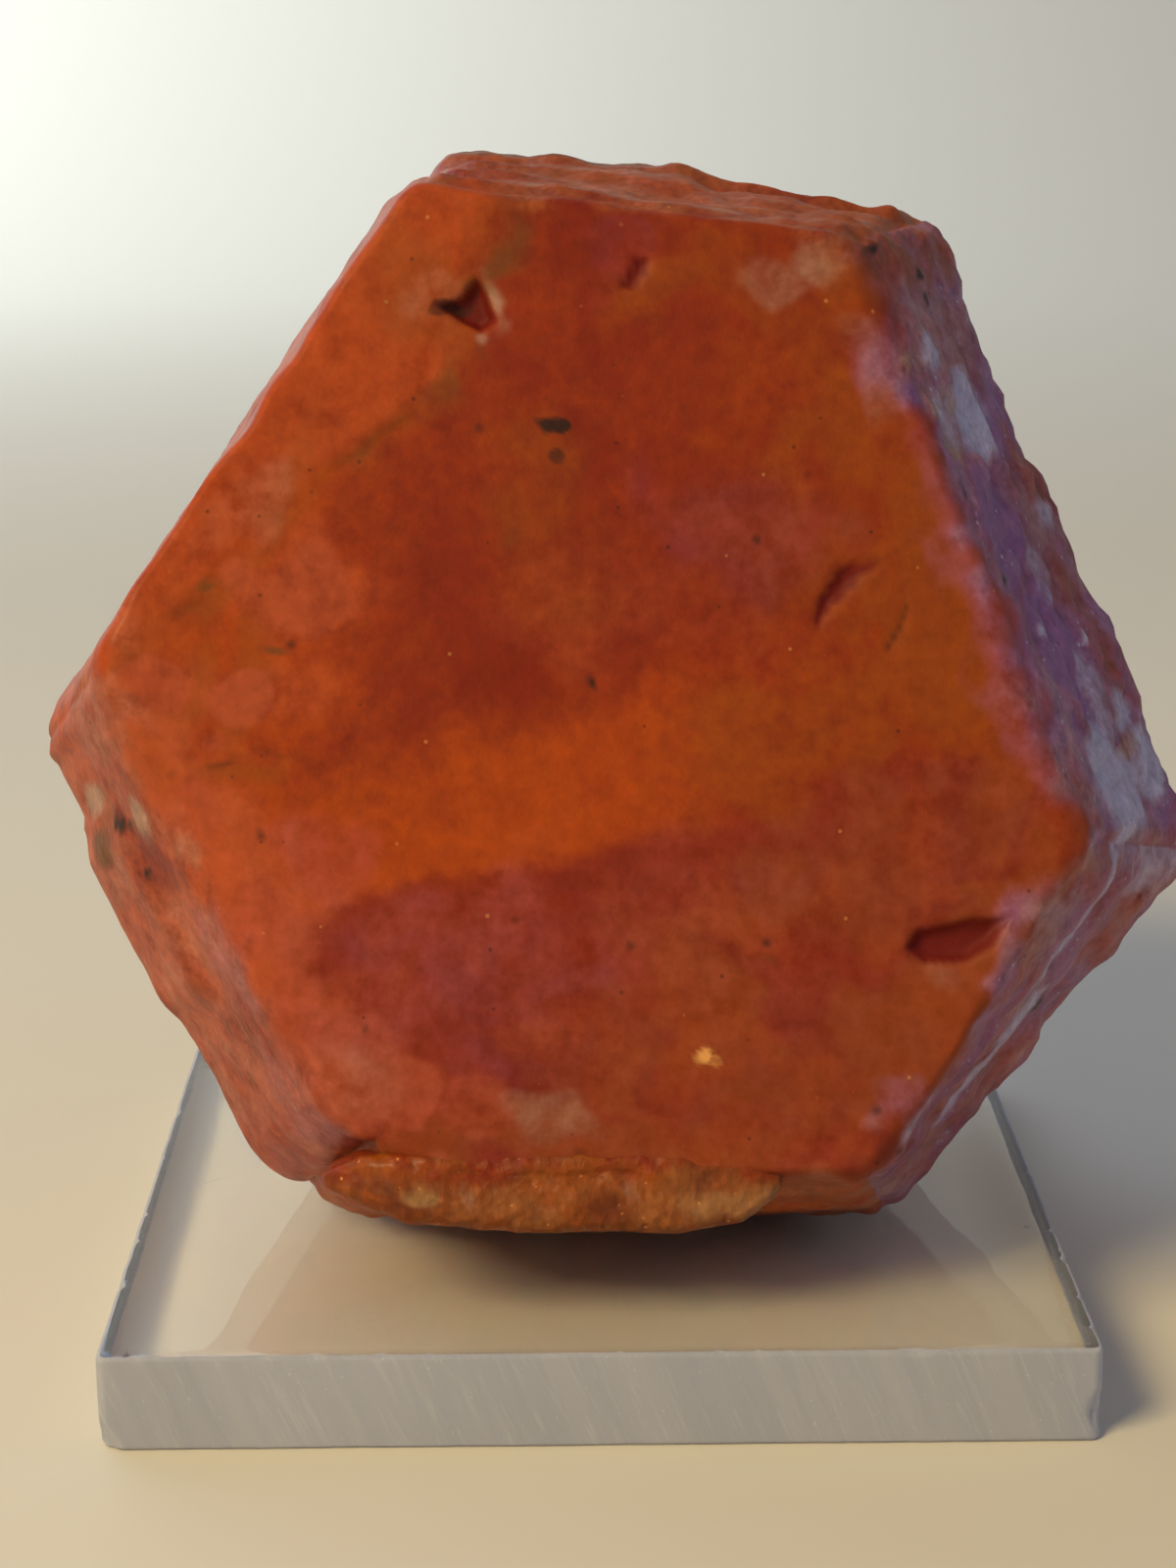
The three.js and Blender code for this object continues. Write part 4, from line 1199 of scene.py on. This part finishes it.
def crust_finish():
    """Amber and honey by broad noise, brown between the grains, the crystal's red along the top, a
    few cream spots, painted glints, and fine strands that run down."""
    f = Finish("amber_crust")
    fine = f.noise(0.7, 4.0, 0.6)
    broad = f.noise(3.2, 3.0)
    grain = f.mask("grain")
    flecks = f.cells(0.55)
    colour = f.mix(broad.ease(0.38, 0.62), AMBER, HONEY)
    colour = f.mix((1 - grain).ease(0.4, 0.8) * 0.8, colour, BROWN)
    colour = f.mix(f.noise(1.8, 3.0).ease(0.56, 0.7) * 0.2, colour, MILK)
    red = f.mask("red")
    red_edge = (red + (fine - 0.5) * 2.4 * red * (1 - red)).clamp()
    colour = f.mix(red_edge * 0.85, colour, f.mix(broad.ease(0.4, 0.6), RED, RUST))
    colour = f.mix(f.mask("milk") * 0.5, colour, CREAM)
    colour = f.mix(f.noise(2.4, 4.0, 0.6).ease(0.52, 0.62) * 0.6, colour, RUST)
    colour = f.scaled(colour, (fine - 0.5) * 0.9 + 1.0)
    # Painted glints: bright dots at the grains' middles, standing in for light caught by small facets.
    painted_glint = (flecks["Distance"] * -1 + 0.2).ease(0.0, 0.1) * fine.ease(0.52, 0.62)
    colour = f.mix(painted_glint * 0.6, colour, SPARK)
    strands = f.noise(0.35, 3.0, 0.6, f.stretched((1.0, 1.0, 4.0)))
    colour = f.scaled(colour, (strands - 0.5) * 0.7 + 1.0)
    bump = f.bump(flecks["Distance"] + fine * 0.5 + strands * 0.6, 0.6, 0.16)
    return f.surface(
        Base_Color=colour, Roughness=0.5 + (fine - 0.5) * 0.3, Normal=bump, IOR=1.6, Coat_Weight=0.1,
        Specular_IOR_Level=0.15, Coat_Roughness=0.2, Subsurface_Weight=0.3,
        Subsurface_Radius=(1.0, 0.5, 0.2), Subsurface_Scale=0.002,
    )


crust.data.materials.append(crust_finish())
print("crust finish ready")

# %% [markdown]
# The base is a square sawn from cast acrylic sheet. Its two faces keep the sheet's polish, and its
# four edges the saw's slanting marks, matt and grey. One closed surface does it: a profile from the
# middle of the underside, round the edge and back to the middle of the top, carried round the
# square's outline. Two materials share it, by face, so that it stays one solid block of clear stuff.

# %% The acrylic plate
PLATE_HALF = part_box("acrylic_base")[1][0] / MM
PLATE_CORNER = 0.6
PLATE_BEVEL = 0.22
PLATE_COLUMNS = 150
CORNER_COLUMNS = 10
EDGE_ROWS = 26
BEVEL_ROWS = 5
SAW_SLANT = 0.42
# each chip is its middle, its reach and its depth
PLATE_CHIPS = [
    ((PLATE_HALF, -PLATE_HALF, 1.6), 0.9, 0.5),
    ((-PLATE_HALF, -PLATE_HALF, 0.0), 1.2, 0.6),
]


def plate_outline():
    """Round the square once, counterclockwise: straight runs and quarter circles at the corners.
    Gives each point's place, its outward direction and how far round it is."""
    straight = PLATE_HALF - PLATE_CORNER
    places, outs = [], []
    for quarter in range(4):
        turn = quarter * math.pi / 2
        c, s = math.cos(turn), math.sin(turn)
        run = np.linspace(-straight, straight, PLATE_COLUMNS + 1)
        px, py = np.full(run.shape, PLATE_HALF), run
        bend = np.linspace(0, math.pi / 2, CORNER_COLUMNS + 1)[1:-1]
        px = np.concatenate([px, straight + PLATE_CORNER * np.cos(bend)])
        py = np.concatenate([py, straight + PLATE_CORNER * np.sin(bend)])
        ox = np.concatenate([np.ones(run.shape), np.cos(bend)])
        oy = np.concatenate([np.zeros(run.shape), np.sin(bend)])
        places.append(np.stack([px * c - py * s, px * s + py * c], axis=-1))
        outs.append(np.stack([ox * c - oy * s, ox * s + oy * c], axis=-1))
    place, out = np.concatenate(places), np.concatenate(outs)
    step = np.linalg.norm(np.roll(place, -1, axis=0) - place, axis=-1)
    return place, out, np.concatenate([[0.0], np.cumsum(step)[:-1]])


def plate_surface():
    """Rings from the underside's middle to the top's. On the edges, noise along slanting lines
    digs the saw marks; near two corners it takes a small chip away."""
    place, out, run = plate_outline()
    inner = np.array([0.15, 0.4, 0.65, 0.85, 0.96])
    bevel = np.linspace(0, math.pi / 2, BEVEL_ROWS)
    bottom, top = 0 * inner, 0 * inner + PLATE_TOP
    narrow, steep = PLATE_BEVEL * (1 - np.cos(bevel)), PLATE_BEVEL * (1 - np.sin(bevel))
    rise = np.linspace(PLATE_BEVEL, PLATE_TOP - PLATE_BEVEL, EDGE_ROWS)
    share = np.concatenate([inner, np.ones(EDGE_ROWS - 2 + 2 * BEVEL_ROWS), inner[::-1]])
    inset = np.concatenate([bottom, steep, 0 * rise[1:-1], narrow, bottom])
    z = np.concatenate([bottom, narrow, rise[1:-1], PLATE_TOP - steep, top])
    rows = slice(len(inner), len(share) - len(inner))
    dig = np.zeros((len(share), len(run)))
    zz, rr = z[rows, None], run[None, :]
    slanted = rr + SAW_SLANT * zz
    saw = noise(slanted / 0.7, zz / 9, 1.0) * 0.04 + noise(slanted / 2.3, zz / 12, 2.0) * 0.05
    dig[rows] = 0.05 + saw
    upper = np.exp(-((PLATE_TOP - zz) / PLATE_BEVEL) ** 2)
    dig[rows] += 0.16 * upper * smooth((noise(rr / 0.5, 3.0, 9.0) - 0.34) / 0.1)
    points = np.empty((len(share), len(run), 3))
    flat = place[None] * share[:, None, None] - out[None] * (inset[:, None] + dig)[..., None]
    points[..., :2], points[..., 2] = flat, z[:, None] + 0 * dig
    rough = 0.6 + 0.5 * noise(run[None] / 0.3, z[:, None] / 0.4, 6.0)
    for middle, reach, deep in PLATE_CHIPS:
        gap = np.linalg.norm((points - middle) / (1, 1, 1.4), axis=-1)
        pull = deep * np.clip(1 - gap / reach, 0, None)
        points[..., :2] -= np.sign(middle[:2]) * (pull * rough)[..., None]
    return points, rows


plate_points, edge_rows = plate_surface()
plate = closed_mesh("plate", plate_points[::-1], (0, 0, PLATE_TOP), (0, 0, 0))
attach(plate, "root")
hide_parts("acrylic_base")

# %% [markdown]
# Clear acrylic is plain transmission with an index of 1.49. A little absorption in the block makes
# long paths through it grey blue. The sawn edges are the same stuff with a rough, scattering skin.

# %% The acrylic finishes
ACRYLIC_TINT = (0.62, 0.72, 0.82, 1.0)
ACRYLIC_DENSITY = 4.0
ACRYLIC_IOR = 1.49


def clear_finish():
    """Clear all through, with a faint smear and hairline scratches in its roughness."""
    f = Finish("acrylic_polished")
    scratched = f.stretched((14.0, 1.0, 14.0), (0.0, 0.0, 0.7))
    hairlines = f.noise(0.5, 2.0, 0.5, scratched).ease(0.66, 0.78)
    smear = f.noise(9.0, 3.0).ease(0.4, 0.7)
    rough = 0.02 + smear * 0.03 + hairlines * 0.12
    return f.surface(
        absorbs=ACRYLIC_TINT, density=ACRYLIC_DENSITY, Base_Color=(1.0, 1.0, 1.0, 1.0), Roughness=rough,
        IOR=ACRYLIC_IOR, Transmission_Weight=1.0, Normal=f.bump(hairlines, 0.1, 0.02),
    )


def sawn_finish():
    """A pale scattering skin that lets a third of the light in, streaked along the saw's slant."""
    f = Finish("acrylic_sawn")
    slant = f.stretched((1.0, 1.0, 14.0), (0.0, -math.atan(SAW_SLANT), 0.0))
    marks = f.noise(0.22, 3.0, 0.6, slant)
    wide = f.noise(1.6, 3.0, 0.5, slant)
    dust = f.noise(0.25, 2.0).ease(0.68, 0.76)
    colour = f.mix(wide.ease(0.3, 0.7), paint(192, 194, 208), paint(202, 202, 212))
    colour = f.mix(marks.ease(0.5, 0.75) * 0.4, colour, paint(224, 223, 228))
    colour = f.mix(dust * 0.5, colour, paint(246, 246, 246))
    return f.surface(
        absorbs=ACRYLIC_TINT, density=ACRYLIC_DENSITY, Base_Color=colour, IOR=ACRYLIC_IOR,
        Roughness=0.5 + (marks - 0.5) * 0.3, Specular_IOR_Level=0.0, Transmission_Weight=0.3,
        Normal=f.bump(marks + wide * 0.3, 0.35, 0.08),
    )


plate.data.materials.append(clear_finish())
plate.data.materials.append(sawn_finish())
ring_count, ring_points = plate_points.shape[:2]
quad_rows = np.arange(ring_count - 1)
sawn = (quad_rows >= edge_rows.start) & (quad_rows < edge_rows.stop - 1)
choice = np.concatenate([np.repeat(sawn[::-1], ring_points), np.zeros(2 * ring_points, bool)])
plate.data.polygons.foreach_set("material_index", choice.astype(np.int32))
print("sawn faces:", int(choice.sum()))

# %% [markdown]
# The floor is a pale warm sheet that bends up far behind, so that no edge shows. It belongs to the
# studio and not to the part.

# %% Floor
FLOOR_HALF_M, FLOOR_FRONT_M = 1.1, -1.2
FLOOR_DROP_M = 1e-5
FLOOR_TONE = paint(222, 213, 196)
BEND_START_M, BEND_RADIUS_M, WALL_M = 0.55, 0.5, 0.9


def make_floor():
    """A flat run, a quarter circle and a wall: a profile in Y and Z carried along X."""
    turn = np.linspace(0, math.pi / 2, 24)
    bend_y, bend_z = BEND_START_M + BEND_RADIUS_M * np.sin(turn), BEND_RADIUS_M * (1 - np.cos(turn))
    y = np.concatenate([[FLOOR_FRONT_M, 0.0], bend_y, bend_y[-1:]])
    z = np.concatenate([[0.0, 0.0], bend_z, [BEND_RADIUS_M + WALL_M]]) - FLOOR_DROP_M
    x = np.linspace(-FLOOR_HALF_M, FLOOR_HALF_M, 9)
    points = np.stack(np.broadcast_arrays(x[None, :], y[:, None], z[:, None]), axis=-1)
    index = np.arange(points[..., 0].size).reshape(points.shape[:2])
    faces = np.stack([index[:-1, :-1], index[:-1, 1:], index[1:, 1:], index[1:, :-1]], axis=-1)
    mesh = bpy.data.meshes.new("floor")
    mesh.from_pydata(points.reshape(-1, 3).tolist(), [], faces.reshape(-1, 4).tolist())
    mesh.polygons.foreach_set("use_smooth", np.ones(len(mesh.polygons), bool))
    floor = bpy.data.objects.new("floor", mesh)
    bpy.context.scene.collection.objects.link(floor)
    f = Finish("pale_floor")
    mesh.materials.append(f.surface(Base_Color=FLOOR_TONE, Roughness=0.8))
    return floor


make_floor()

# %% [markdown]
# Soft studio light in two colours, as in the picture: a warm key from the front left, above, and
# cool daylight from behind on the left. Both are panels, so shadows have soft edges. A weak cool
# panel on the right, another that lights the backdrop and a faint even sky fill the rest. Cycles
# blurs what glass shows after a matt bounce, which would dim the floor under the clear plate, so
# that blur is set to none.

# %% Lights
CRYSTAL_MIDDLE = (0.0, 0.0, 0.03)
BACKDROP = (-0.5, 1.0, 0.1)
# name, the way from the target to the panel, distance and size in metres, watts, colour, target
PANELS = [
    ("key_warm", (-0.544, -0.532, 0.649), 0.6, 0.22, 3.0, (1.0, 0.81, 0.42), CRYSTAL_MIDDLE),
    ("window_cool", (-0.6, 0.75, 0.7), 1.0, 0.8, 3.0, (0.62, 0.78, 1.0), CRYSTAL_MIDDLE),
    ("fill_cool", (0.9, -0.1, 0.45), 1.1, 0.7, 0.66, (0.62, 0.74, 1.0), CRYSTAL_MIDDLE),
    ("backdrop_glow", (0.1, -0.7, 0.6), 0.6, 0.5, 4.5, (0.8, 0.92, 1.0), BACKDROP),
]
SKY_TONE = (0.74, 0.80, 1.0, 1.0)
SKY_STRENGTH = 0.26


def make_panel(name, toward, distance, size, watts, colour, target):
    """A square panel that faces a target from a direction."""
    target = np.array(target)
    way = np.array(toward) / np.linalg.norm(toward)
    data = bpy.data.lights.new(name, "AREA")
    data.size = size
    data.energy = watts
    data.color = colour
    panel = bpy.data.objects.new(name, data)
    panel.location = target + way * distance
    panel.rotation_mode = "QUATERNION"
    panel.rotation_quaternion = Vector(way.tolist()).to_track_quat("Z", "Y")
    bpy.context.scene.collection.objects.link(panel)
    return panel


for panel in PANELS:
    make_panel(*panel)
bpy.context.scene.cycles.blur_glossy = 0.0
world = bpy.data.worlds.new("studio")
world.use_nodes = True
sky = world.node_tree.nodes["Background"]
sky.inputs["Color"].default_value = SKY_TONE
sky.inputs["Strength"].default_value = SKY_STRENGTH
bpy.context.scene.world = world
bpy.context.scene.view_settings.view_transform = "Standard"
